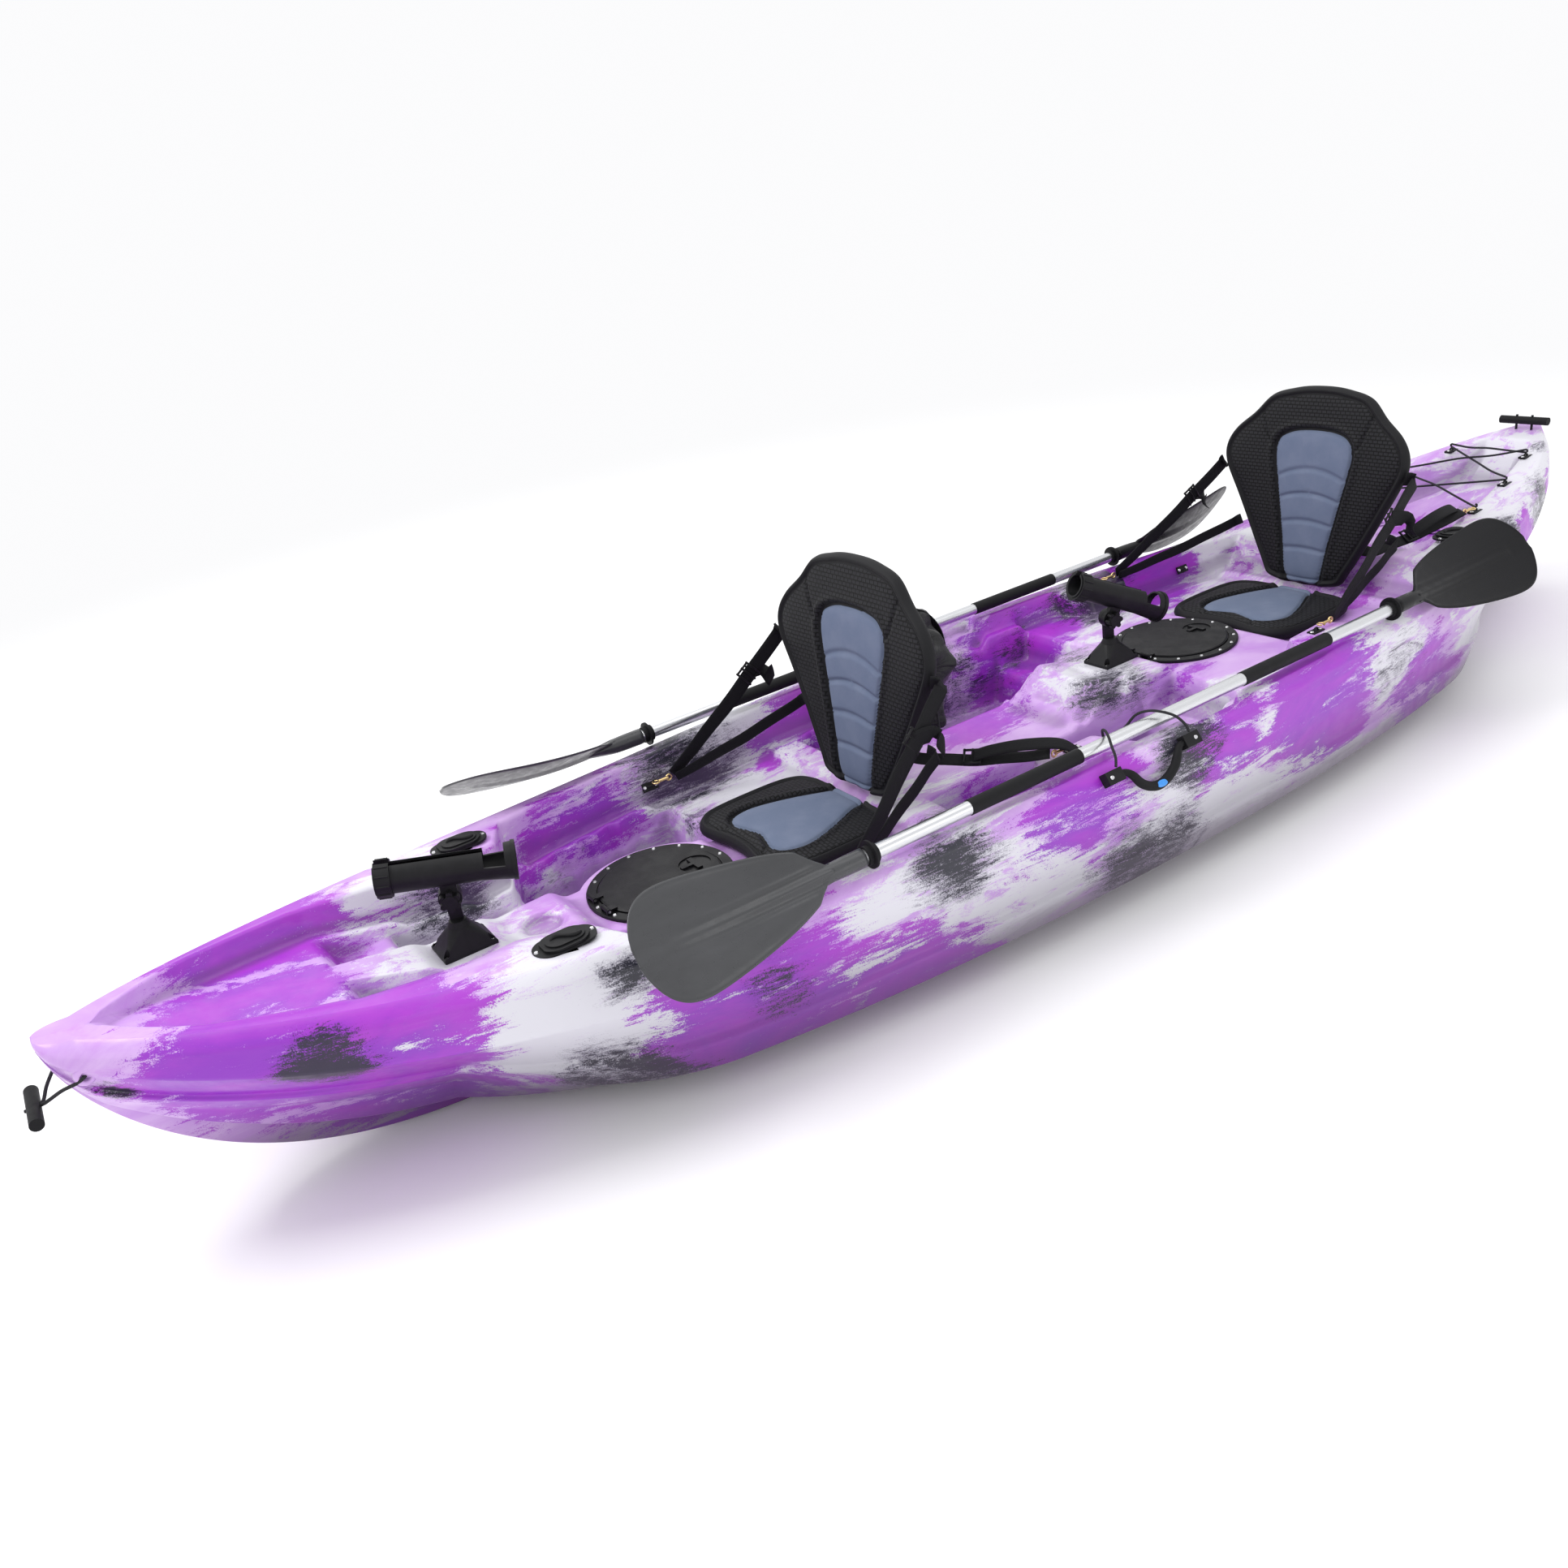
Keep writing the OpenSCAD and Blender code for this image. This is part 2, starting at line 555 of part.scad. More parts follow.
// Base pad: wide at the thighs, a shallow notch in its front edge
module seat_base(s) {
    color([0.06, 0.06, 0.07])
        translate([0, s[0], s[1]]) difference() {
            hull() {
                for (x = [-110, 110]) translate([x, -66, 0]) cylinder(h = seat_pad_t, r = 60, $fn = 32);
                for (x = [-106, 106]) translate([x, -222, 0]) cylinder(h = seat_pad_t, r = 62, $fn = 32);
            }
            translate([0, -322, -1]) cylinder(h = seat_pad_t + 2, r = 46);
        }
}
module front_seat_base() { seat_base(FRONT_SEAT); }
module rear_seat_base() { seat_base(REAR_SEAT); }

// Half outline of a back: narrow foot, wide shoulders, smaller top lobe
BACK_OUTLINE = [[84, 0], [118, 40], [196, 190], [236, 268], [238, 312], [214, 352], [168, 388],
                [128, 430], [74, back_h - 6], [30, back_h]];

module at_back(s) {
    translate([0, s[0], s[2]]) rotate([-seat_lean, 0, 0]) children();
}

module seat_back(s) {
    color([0.05, 0.05, 0.06])
        at_back(s) translate([0, back_t + 1, 2]) rotate([90, 0, 0]) linear_extrude(back_t)
            polygon(concat(BACK_OUTLINE, [for (i = [len(BACK_OUTLINE) - 1:-1:0])
                                              [-BACK_OUTLINE[i][0], BACK_OUTLINE[i][1]]]));
}
module front_seat_back() { seat_back(FRONT_SEAT); }
module rear_seat_back() { seat_back(REAR_SEAT); }

// Soft storage bag hung on the rear of the front seat back
module front_seat_bag() {
    color([0.03, 0.03, 0.04])
        at_back(FRONT_SEAT) translate([0, back_t + 1 + skin, 124]) hull() {
            translate([-140, 0, 0]) cube([280, 4, 226]);
            for (x = [-100, 100], z = [54, 170]) translate([x, 88, z]) sphere(r = 46, $fn = 24);
        }
}

// A round cord through the given points; r is one radius, or one for each point
function normal(a) = a / norm(a);
module cord(points, r, sides = 8) {
    n = len(points);
    dirs = [for (i = [0:n - 1]) normal(points[min(i + 1, n - 1)] - points[max(i - 1, 0)])];
    axes = [for (d = dirs) normal(cross(d, abs(d[2]) < 0.9 ? [0, 0, 1] : [1, 0, 0]))];
    ups = [for (i = [0:n - 1]) cross(axes[i], dirs[i])];
    rs = is_list(r) ? r : [for (p = points) r];
    loops = [for (i = [0:n - 1], j = [0:sides - 1])
                points[i] + rs[i] * (cos(360 * j / sides) * axes[i] + sin(360 * j / sides) * ups[i])];
    quads = [for (i = [0:n - 2], j = [0:sides - 1])
                [i * sides + j, (i + 1) * sides + j, (i + 1) * sides + (j + 1) % sides, i * sides + (j + 1) % sides]];
    split = concat([for (q = quads) [q[0], q[2], q[1]]], [for (q = quads) [q[0], q[3], q[2]]]);
    first = [for (j = [sides - 1:-1:0]) j];
    last = [for (j = [0:sides - 1]) (n - 1) * sides + j];
    polyhedron(points = loops, faces = concat(split, [first, last]), convexity = 6);
}

// Drawcord of the bag: a short bight and its hanging end
BAG_CORD = [[150, -372, 447], [160, -364, 454], [169, -356, 448], [173, -351, 424], [174, -348, 388],
            [173, -346, 352], [174, -346, 306]];
module front_bag_cord() {
    color([0.03, 0.03, 0.03]) cord(BAG_CORD, 2);
}

// A flat webbing run between two points, width along Z
webbing_w = 32;
module webbing(p, q, w = webbing_w) {
    hull() {
        translate(p) cube([2, 2, w], center = true);
        translate(q) cube([2, 2, w * 0.6], center = true);
    }
}

// Three straps a side: shoulder and waist to the front anchor, waist to the rear anchor
module seat_straps(s, front, rear) {
    color([0.03, 0.03, 0.03])
        for (side = [0, 1]) mirror([side, 0, 0]) {
            webbing([252, s[0] + 34, s[2] + 262], front);
            webbing([216, s[0] + 44, s[2] + 120], front + [-5, 6, -8], 24);
            webbing([150, s[0] + 62, s[2] + 85], rear, 26);
        }
}
// Hooks: middle of the open ring at the anchor, and which way along the boat the strap leaves
HOOKS = [[306, -704, 256, 1], [319, -181, 316, -1], [300, 557, 316, 1], [174, 1289, 353, -1]];
hook_len = 45;
function strap_end(h) = [h[0], h[1] + h[3] * hook_len, h[2] + 5];
module front_seat_straps() { seat_straps(FRONT_SEAT, strap_end(HOOKS[0]), strap_end(HOOKS[1])); }
module rear_seat_straps() { seat_straps(REAR_SEAT, strap_end(HOOKS[2]), strap_end(HOOKS[3])); }

// Brass snap hook: a swivel barrel and an open ring, length along Y
module snap_hook() {
    rotate_extrude(angle = 320) translate([7, 0]) circle(r = 1.8, $fn = 24);
    translate([0, 6, 0]) rotate([-90, 0, 0]) cylinder(h = 22, r = 3.2);
    translate([0, 30, 0]) rotate([0, 90, 0]) rotate_extrude() translate([6, 0]) circle(r = 1.8, $fn = 24);
}

module snap_hooks() {
    color([0.80, 0.62, 0.28])
        for (s = [0, 1], h = HOOKS)
            mirror([s, 0, 0]) translate([h[0], h[1], h[2]]) rotate([0, 0, h[3] > 0 ? 0 : 180]) snap_hook();
}

// ---- side handles -----------------------------------------------------------------

// Frame of a bracket: e = 0 at the bow end, 1 at the stern end; its grip lies towards +Y
module at_bracket(e) {
    translate([axis_x, BRACKET_Y[e], axis_z]) mirror([0, e, 0]) rotate([0, bracket_tilt, 0]) children();
}

module handle_brackets() {
    color([0.05, 0.05, 0.05])
        for (s = [0, 1], e = [0, 1]) mirror([s, 0, 0]) at_bracket(e) difference() {
            translate([-12, -24, -10]) cube([24, 38, 18]);
            translate([0, -8, 0]) along_y(40, 5 + run_fit, 5 + run_fit);
            translate([0, -13, -12]) cylinder(h = 30, r = 2.1);
        }
}

// Grip hung between two pins, bowed down against the hull's side
grip_span = BRACKET_Y[1] - BRACKET_Y[0];
GRIP = [[0, -6, 0], [0, 16, 0], [0, 17, 0], [1, 25, -1], [8, 35, -10], [12, 48, -28], [14, 70, -42],
        [15, grip_span / 2, -47], [14, grip_span - 70, -42], [12, grip_span - 48, -28],
        [8, grip_span - 35, -10], [1, grip_span - 25, -1], [0, grip_span - 17, 0], [0, grip_span - 16, 0],
        [0, grip_span + 6, 0]];
function grip_r(i) = i < 2 || i > len(GRIP) - 3 ? 5 : 8;
module handle_grip() {
    color([0.05, 0.05, 0.05]) translate([axis_x, BRACKET_Y[0], axis_z])
        cord(GRIP, [for (i = [0:len(GRIP) - 1]) grip_r(i)], 16);
}
module port_handle_grip() { handle_grip(); }
module starboard_handle_grip() { mirror([1, 0, 0]) handle_grip(); }

// Elastic loops that hold a parked paddle: bracket, over the shaft, knob inside the rail
function park_route(y, dy) =
    [[432, y, 310], [428, y + 0.4 * dy, 326], [414, y + dy, 341], [398, y + 2 * dy, 350],
     [381, y + 3 * dy, 353], [364, y + 4 * dy, 346], [355, y + 5 * dy, 328], [346, y + 6 * dy, 311]];
module paddle_park_cords() {
    color([0.03, 0.03, 0.03])
        for (s = [0, 1]) mirror([s, 0, 0]) {
            cord(park_route(BRACKET_Y[0], 10), 2.5);
            cord(park_route(BRACKET_Y[1], -15), 2.5);
        }
}

// ---- paddles ------------------------------------------------------------------------

drip_r = 24;
paddle_z = rail_z + drip_r + 0.5;      // the paddle lies on its drip rings
ferrule_r = shaft_r - 1.5 - run_fit;
ferrule_len = 90;
shaft_end = 742;        // where a shaft ends inside its blade's neck
ring_at = 668;
blade_from = 744;
blade_len = paddle_len / 2 - blade_from;
blade_w = 182;

module paddle_frame(side, end) {
    mirror([side < 0 ? 1 : 0, 0, 0]) translate([paddle_x, 0, paddle_z])
        mirror([0, end > 0 ? 0 : 1, 0])
            rotate([0, side < 0 && end < 0 ? -far_blade_roll : -blade_roll, 0]) children();
}

// Tube along +Y from a to b
module sleeve(a, b, outer, inner) {
    translate([0, a, 0]) difference() {
        along_y(b - a, outer, outer);
        translate([0, -1, 0]) along_y(b - a + 2, inner, inner);
    }
}

module paddle_shaft(side, end) {
    color([0.78, 0.78, 0.80]) paddle_frame(side, end) {
        sleeve(skin, shaft_end, shaft_r, shaft_r - 1.5);
        if (end < 0) sleeve(-ferrule_len, 60, ferrule_r + run_fit / 2, ferrule_r - 2);
    }
}

module paddle_grip(side, end) {
    color([0.04, 0.04, 0.04]) paddle_frame(side, end) sleeve(212, 463, shaft_r + 1.3, shaft_r + run_fit);
}

module paddle_ring(side, end) {
    color([0.03, 0.03, 0.03]) paddle_frame(side, end) {
        sleeve(ring_at - 10, ring_at + 10, shaft_r + 4, shaft_r + run_fit);
        sleeve(ring_at - 2, ring_at + 2, drip_r, shaft_r + 3);
    }
}

// Half width of a blade at s from 0 (neck) to 1 (tip); the two edges differ, as the blade is cut on a slant
function blade_edge(s, k) = (blade_w / 2) * pow(sin(180 * pow(s, 0.80 + 0.14 * k) * 0.5 + 90 * pow(s, 6)), 0.55)
                            * (s < 0.03 ? 0.30 : 1);
// How far the blade curves towards its power face
function blade_bow(s) = 34 * pow(s, 2.2);
function spine(s, x) = 7 * max(0, 1 - abs(x) / 20) * pow(max(0, 1 - s / 0.86), 0.5);

module blade_sheet() {
    ns = 16;
    nx = 8;
    row = nx * 2 + 1;
    stops = [for (i = [0:ns]) i == ns ? 0.995 : i / ns];
    function at(s, j) = let (u = j / nx, e = max(14, blade_edge(s, u < 0 ? -1 : 1))) u * e;
    function dish(s, x) = blade_bow(s) - 10 * sin(180 * s) * (1 - pow(x / 95, 2)) + 6;
    top = [for (s = stops, j = [-nx:nx]) let (x = at(s, j)) [x, blade_from + s * blade_len, dish(s, x) + 1.6]];
    bottom = [for (s = stops, j = [-nx:nx])
                 let (x = at(s, j)) [x, blade_from + s * blade_len, dish(s, x) - 1.6 - spine(s, x)]];
    m = len(top);
    cells = [for (i = [0:ns - 1], j = [0:row - 2]) [i * row + j, i * row + j + 1, (i + 1) * row + j + 1, (i + 1) * row + j]];
    rim = concat([for (j = [0:row - 1]) j], [for (i = [1:ns]) i * row + row - 1],
                 [for (j = [row - 2:-1:0]) ns * row + j], [for (i = [ns - 1:-1:1]) i * row]);
    k = len(rim);
    faces = concat([for (q = cells) each [[q[0], q[2], q[1]], [q[0], q[3], q[2]]]],
                   [for (q = cells) each [[m + q[0], m + q[1], m + q[2]], [m + q[0], m + q[2], m + q[3]]]],
                   [for (i = [0:k - 1]) let (a = rim[i], b = rim[(i + 1) % k])
                       each [[a, b, m + b], [a, m + b, m + a]]]);
    polyhedron(points = concat(top, bottom), faces = faces, convexity = 6);
}

module paddle_blade(side, end) {
    color([0.16, 0.16, 0.17]) paddle_frame(side, end) {
        difference() {
            translate([0, ring_at + 14, 0]) along_y(100, shaft_r + 3.5, shaft_r + 1);
            translate([0, ring_at + 13, 0]) along_y(shaft_end - ring_at - 12, shaft_r + run_fit, shaft_r + run_fit);
        }
        blade_sheet();
    }
}

module port_front_shaft() { paddle_shaft(1, -1); }
module port_front_blade() { paddle_blade(1, -1); }
module port_front_grip() { paddle_grip(1, -1); }
module port_front_ring() { paddle_ring(1, -1); }
module port_rear_shaft() { paddle_shaft(1, 1); }
module port_rear_blade() { paddle_blade(1, 1); }
module port_rear_grip() { paddle_grip(1, 1); }
module port_rear_ring() { paddle_ring(1, 1); }
module starboard_front_shaft() { paddle_shaft(-1, -1); }
module starboard_front_blade() { paddle_blade(-1, -1); }
module starboard_front_grip() { paddle_grip(-1, -1); }
module starboard_front_ring() { paddle_ring(-1, -1); }
module starboard_rear_shaft() { paddle_shaft(-1, 1); }
module starboard_rear_blade() { paddle_blade(-1, 1); }
module starboard_rear_grip() { paddle_grip(-1, 1); }
module starboard_rear_ring() { paddle_ring(-1, 1); }

// ---- toggles, bungee, plug -----------------------------------------------------------

bow_toggle_y = toggle_hole_y - 78;
bow_toggle_z = toggle_hole_z - 44;

module bow_toggle() {
    color([0.04, 0.04, 0.04]) translate([0, bow_toggle_y, bow_toggle_z]) difference() {
        along_x(100, 10);
        rotate([90, 0, 0]) cylinder(h = 40, r = 3.4, center = true);
    }
}

// Rope: through the nose from side to side, both ends joined in the toggle
BOW_ROPE = [[0, bow_toggle_y - 12, bow_toggle_z], [0, bow_toggle_y, bow_toggle_z], [0, bow_toggle_y + 13, bow_toggle_z + 2],
            [22, bow_toggle_y + 26, bow_toggle_z + 14], [44, bow_toggle_y + 46, bow_toggle_z + 28],
            [62, toggle_hole_y - 12, toggle_hole_z - 4], [62, toggle_hole_y, toggle_hole_z],
            [40, toggle_hole_y, toggle_hole_z], [0, toggle_hole_y, toggle_hole_z]];
module bow_toggle_rope() {
    color([0.03, 0.03, 0.03]) {
        cord(BOW_ROPE, 2.5);
        mirror([1, 0, 0]) cord([for (i = [2:len(BOW_ROPE) - 1]) BOW_ROPE[i]], 2.5);
    }
}

stern_toggle_z = stern_top + 12;
module stern_toggle() {
    color([0.04, 0.04, 0.04]) translate([0, stern_rope_y, stern_toggle_z]) difference() {
        along_x(124, 10);
        for (x = [-20, 20]) translate([x, 0, 0]) cylinder(h = 40, r = 3.4, center = true);
    }
}

module stern_toggle_rope() {
    color([0.03, 0.03, 0.03])
        for (x = [-20, 20]) translate([x, stern_rope_y, stern_toggle_z - 60]) cylinder(h = 74, r = 3);
}

// Bungee laced over the tank well in one closed run; it turns through each anchor's eye
lace_gap = 3.4;     // height of one strand over the other in an eye and at a crossing
function eye(side, i) = let (a = ANCHOR_SIDE[4 + i]) [side * a[0], a[1], a[2] + 15];
LACING = [[1, 0], [-1, 1], [1, 2], [-1, 2], [1, 1], [-1, 0]];
CROSS = [1, 1, 0, -1, -1, 0];   // which runs pass over (1) and under (-1) the one they cross
function turn(i) =
    let (l = LACING[i], e = eye(l[0], l[1]), up = [0, 0, lace_gap])
    [e + up, e + [l[0] * 3, 1.5, up[2] / 2], e + [l[0] * 3, 1.5, -up[2] / 2], e - up];
function middle(i) =
    let (p = LACING[i], q = LACING[(i + 1) % 6])
    (eye(p[0], p[1]) + eye(q[0], q[1])) / 2 + [0, 0, CROSS[i] * lace_gap];
function lacing() =
    [for (i = [0:5]) each concat(turn(i), i < 5 ? [middle(i)] : [])];
module stern_bungee() {
    color([0.03, 0.03, 0.03]) cord(lacing(), 2.5);
}

module drain_plug() {
    color([0.05, 0.05, 0.05]) translate([-half_w(drain_y) + 6 - skin, drain_y, drain_z]) {
        rotate([0, 90, 0]) cylinder(h = 14, r = plug_r);
        translate([-6, 0, 0]) rotate([0, 90, 0]) cylinder(h = 6, r = 15);
        translate([-10, -10, -2]) cube([5, 20, 4]);
    }
}

hull_shell();  // hull
hatch_rings();
hatch_seals();
hatch_screws();
hatch_hinge_pins();
front_hatch_lid();
rear_hatch_lid();
front_hatch_latch();
rear_hatch_latch();
rod_holder_bases();
front_rod_post();
rear_rod_post();
front_rod_tube();
rear_rod_tube();
front_rod_collar();
rear_rod_collar();
front_rod_knob();
rear_rod_knob();
flush_rod_tubes();
port_bow_cap();
starboard_bow_cap();
port_stern_cap();
starboard_stern_cap();
deck_screws();
pad_eyes();
snap_hooks();
front_seat_base();
rear_seat_base();
front_seat_back();
rear_seat_back();
front_seat_bag();
front_bag_cord();
front_seat_straps();
rear_seat_straps();
handle_brackets();
port_handle_grip();
starboard_handle_grip();
paddle_park_cords();
port_front_shaft();
port_front_blade();
port_front_grip();
port_front_ring();
port_rear_shaft();
port_rear_blade();
port_rear_grip();
port_rear_ring();
starboard_front_shaft();
starboard_front_blade();
starboard_front_grip();
starboard_front_ring();
starboard_rear_shaft();
starboard_rear_blade();
starboard_rear_grip();
starboard_rear_ring();
bow_toggle();
bow_toggle_rope();
stern_toggle();
stern_toggle_rope();
stern_bungee();
drain_plug();
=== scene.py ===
# Looks of the two-seat fishing kayak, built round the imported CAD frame.
import math
import bpy
import numpy as np
from mathutils import Matrix, Vector


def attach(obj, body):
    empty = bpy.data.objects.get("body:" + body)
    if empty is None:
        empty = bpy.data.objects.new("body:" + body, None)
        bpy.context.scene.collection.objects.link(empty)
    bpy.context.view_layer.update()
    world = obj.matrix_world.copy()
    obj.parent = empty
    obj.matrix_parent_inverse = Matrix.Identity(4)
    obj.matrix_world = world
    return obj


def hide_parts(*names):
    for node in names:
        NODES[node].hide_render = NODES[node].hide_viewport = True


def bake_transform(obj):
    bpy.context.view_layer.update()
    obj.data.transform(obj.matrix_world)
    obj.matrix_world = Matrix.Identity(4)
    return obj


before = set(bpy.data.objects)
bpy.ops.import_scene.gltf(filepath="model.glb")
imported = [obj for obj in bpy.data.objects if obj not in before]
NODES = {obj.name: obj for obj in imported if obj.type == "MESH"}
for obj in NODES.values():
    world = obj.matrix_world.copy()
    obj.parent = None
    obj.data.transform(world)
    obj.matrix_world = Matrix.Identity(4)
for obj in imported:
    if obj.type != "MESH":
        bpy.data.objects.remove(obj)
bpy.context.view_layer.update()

RAD = math.radians

# ---- camera and light ----------------------------------------------------------

CAMERA_AT = (1.8775, -1.6412, 1.3057)
CAMERA_AZIMUTH, CAMERA_ELEVATION, CAMERA_ROLL = RAD(60.65), RAD(24.99), RAD(-9.65)
LENS_MM, SENSOR_MM = 29.51, 36
WORLD = (0.97, 0.97, 0.98)
SIDES = ((1, "port"), (-1, "starboard"))
ENDS = ("front", "rear")


def link(o):
    bpy.context.scene.collection.objects.link(o)
    return o


def set_camera():
    az, el, roll = CAMERA_AZIMUTH, CAMERA_ELEVATION, CAMERA_ROLL
    back = Vector((math.sin(az) * math.cos(el), -math.cos(az) * math.cos(el), math.sin(el)))
    right = Vector((math.cos(az), math.sin(az), 0))
    up = back.cross(right)
    across = math.cos(roll) * right + math.sin(roll) * up
    upward = -math.sin(roll) * right + math.cos(roll) * up
    data = bpy.data.cameras.new("camera")
    data.lens = LENS_MM
    data.sensor_width = SENSOR_MM
    data.clip_end = 400
    cam = link(bpy.data.objects.new("camera", data))
    m = Matrix((across, upward, back)).transposed().to_4x4()
    m.translation = Vector(CAMERA_AT)
    cam.matrix_world = m
    bpy.context.scene.camera = cam


def area_light(name, at, aim, size, power):
    data = bpy.data.lights.new(name, "AREA")
    data.shape = "RECTANGLE"
    data.size, data.size_y = size
    data.energy = power
    o = link(bpy.data.objects.new(name, data))
    o.location = at
    o.rotation_euler = (Vector(aim) - Vector(at)).to_track_quat("-Z", "Y").to_euler()


def set_studio():
    area_light("key", (-1.6, -3.2, 4.4), (0, 0, 0.2), (2.2, 1.8), 105)
    area_light("fill", (-4.0, 1.0, 3.6), (0, 0, 0.3), (4.0, 3.0), 24)
    area_light("top", (0.2, 0.4, 4.6), (0, 0, 0), (2.2, 5.0), 34)
    area_light("low", (4.2, 1.4, 1.0), (0, 0.2, 0.3), (2.6, 1.6), 14)
    world = bpy.data.worlds.new("studio")
    world.use_nodes = True
    sky = world.node_tree.nodes["Background"]
    sky.inputs[0].default_value = (*WORLD, 1)
    sky.inputs[1].default_value = 1.0
    bpy.context.scene.world = world
    bpy.context.scene.view_settings.view_transform = "Standard"


# ---- the hull's numbers, as in the CAD source, in millimetres ----------------------

HALF_LEN, MID_Y, WALL_TOP = 1850.0, 12.0, 305.0
HALF_BEAM, CHINE_Z, NOSE_Y, NOSE_R = 430, 40, -1775, 62
BOW_END, STERN_END = -1836.0, 1859
SCUPPERS = [(225, -860, 108), (-225, -860, 108), (235, -60, 108), (-235, -60, 108), (75, 1300, 283),
            (-75, 1300, 283)]
HATCHES = [(0, -867, 215), (0, 460, 248)]
FLUSH = [(232, -1136), (-232, -1136), (206, 1160), (-206, 1160)]
FLANGE_R, HATCH_CUT_R, SCUPPER_CUT_R, FLUSH_CUT_R = 152.0, 97, 14, 26
DISH_Y, DISH_R, DISH_DEPTH = -1094, 36, 15
HOLE_Y, HOLE_Z = -1790, 338
SEAT_GROOVES = (-620, -560, -500, -440)


def lerp(a, b, t):
    return a + (b - a) * t


def unit(t):
    return np.clip(t, 0, 1)


def reach(y):
    return np.minimum(1, np.abs(y - MID_Y) / HALF_LEN)


def half_w(y):
    """Half the beam, with a blunt rounded nose."""
    nose = NOSE_R * np.sqrt(np.maximum(0, 1 - (np.minimum(0, y - NOSE_Y) / (NOSE_R + 0.5)) ** 2))
    nose = nose * (np.asarray(y) < -1760)
    return np.maximum(HALF_BEAM * np.maximum(0, 1 - reach(y) ** 2.2) ** 0.7, nose)


def sheer(y):
    """Height of the rail."""
    return WALL_TOP + np.where(y < 0, 90, 120) * np.maximum(0, (reach(y) - 0.38) / 0.62) ** 1.8


def sweep(s, e):
    return 1 - (1 - unit(s) ** 2.5) ** e


def keel(y):
    """Height of the middle of the bottom, swept up at both ends."""
    return np.where(y < 0, 390 * sweep((-y - 1200) / 638, 0.6), 420 * sweep((y - 1610) / 252, 0.5))


def chine_z(y):
    return np.maximum(CHINE_Z + 0.75 * (sheer(y) - CHINE_Z) * reach(y) ** 4,
                      lerp(keel(y), sheer(y), 0.2))


def chine_x(y):
    return np.maximum(half_w(y) - 8 - 160 * np.maximum(0, (np.abs(y - MID_Y) - 950) / 410) ** 1.7,
                      0.42 * half_w(y))


# Rows of (y, value): the rail's width, the deck's height, the middle strip's half width.
# Footwells are (bow end, stern end, bow slope, stern slope, floor).
RAIL_W = [(-1760, 34), (-1430, 60), (-1250, 112), (-1190, 138), (-1085, 138), (-1045, 62), (-980, 55),
          (-262, 55), (-236, 135), (-96, 135), (-70, 55), (440, 55), (480, 135), (596, 135), (640, 72),
          (900, 62), (1000, 84), (1060, 138), (1250, 132), (1500, 100), (1740, 56)]
DECK_Z = [(-1760, 368), (-1600, 325), (-1430, 302), (-1300, 272), (-1276, 256), (-1178, 256), (-1150, 240),
          (-1040, 238), (-1015, 215), (-732, 215), (-718, 200), (-426, 200), (-404, 215), (40, 213),
          (128, 284), (200, 268), (312, 268), (322, 248), (595, 248), (600, 222), (905, 222), (930, 236)]
STRIP = [(-1430, 30), (-1250, 60), (-1100, 84), (-1020, 95), (-690, 95)]
FOOTWELLS = [(-1430, -1270, 26, 20, 258), (-1318, -1042, 24, 20, 206), (-1072, -692, 42, 26, 108),
             (-348, 236, 46, 30, 108), (206, 322, 20, 16, 186)]


def table(y, rows):
    return np.interp(y, [r[0] for r in rows], [r[1] for r in rows])


def rail_in(y):
    return half_w(y) - np.minimum(table(y, RAIL_W), 0.55 * half_w(y))


def strip_x(y):
    """Half width of the raised strip between the footwells, wide round the front hatch."""
    wide = np.sqrt(np.maximum(0, FLANGE_R ** 2 - (y - HATCHES[0][1]) ** 2))
    return np.where(y > -420, 112, np.maximum(table(y, STRIP), wide))


def zigzag(y):
    """Foot brace steps along the outer walls of the footwells, in millimetres."""
    p = (y % 58) / 58
    on = unit((y + 1010) / 30) * unit((-745 - y) / 30) + unit((y + 330) / 30) * unit((150 - y) / 30)
    return 13 * on * np.where(p < 0.75, p / 0.75, (1 - p) / 0.25)


def foot_x(y):
    return rail_in(y) - 38 + zigzag(y)


def bow_round(y):
    """Rounds the bow end of the tray."""
    return np.sqrt(np.maximum(0.0, 1 - np.maximum(0, (-1610 - y) / 150.0) ** 2))


def deck_z(a, y):
    """Height of the deck at a distance from the middle line and a place along the boat."""
    top = sheer(y)
    tray = np.minimum(np.minimum((rail_in(y) * bow_round(y) - a) / 18, (y + 1762) / 22), (1000 - y) / 42)
    z = lerp(top, table(y, DECK_Z), unit(tray))
    for f in FOOTWELLS:
        d = np.minimum(np.minimum((a - strip_x(y)) / 14, (foot_x(y) - a) / 14),
                       np.minimum((y - f[0]) / f[2], (f[1] - y) / f[3]))
        z = np.minimum(z, lerp(z, f[4], unit(d)))
    tank = np.minimum(np.minimum((rail_in(y) - a) / 22, (y - 1058) / 42), (1735 - y) / 90)
    zt = lerp(top, table(y, [(1058, 262), (1735, 318)]), unit(tank))
    z = np.where(y > 1030, zt, z)
    lip = np.exp(-((a - rail_in(y) * bow_round(y) - 3) / 6.0) ** 2) * (y < -1440) * (y > -1752)
    z = z + 3.5 * lip
    hump = unit((y - 44) / 30) * unit((214 - y) / 20)
    z = np.where((y > 40) & (y < 216), z - hump * 26 * unit((a - 84) / 12) * (z > 230), z)
    z = z - hump * 9 * np.exp(-(a / 46.0) ** 4) * (np.abs(y - 130) < 60)
    for groove in SEAT_GROOVES:
        z = z - 2.5 * np.exp(-((y - groove) / 7.0) ** 2) * (a < 205) * (a > 30)
    dish = np.hypot(a, y - DISH_Y)
    return z - DISH_DEPTH * unit((DISH_R - dish) / 4) * (y < -1050)


# ---- mesh helpers ----------------------------------------------------------------


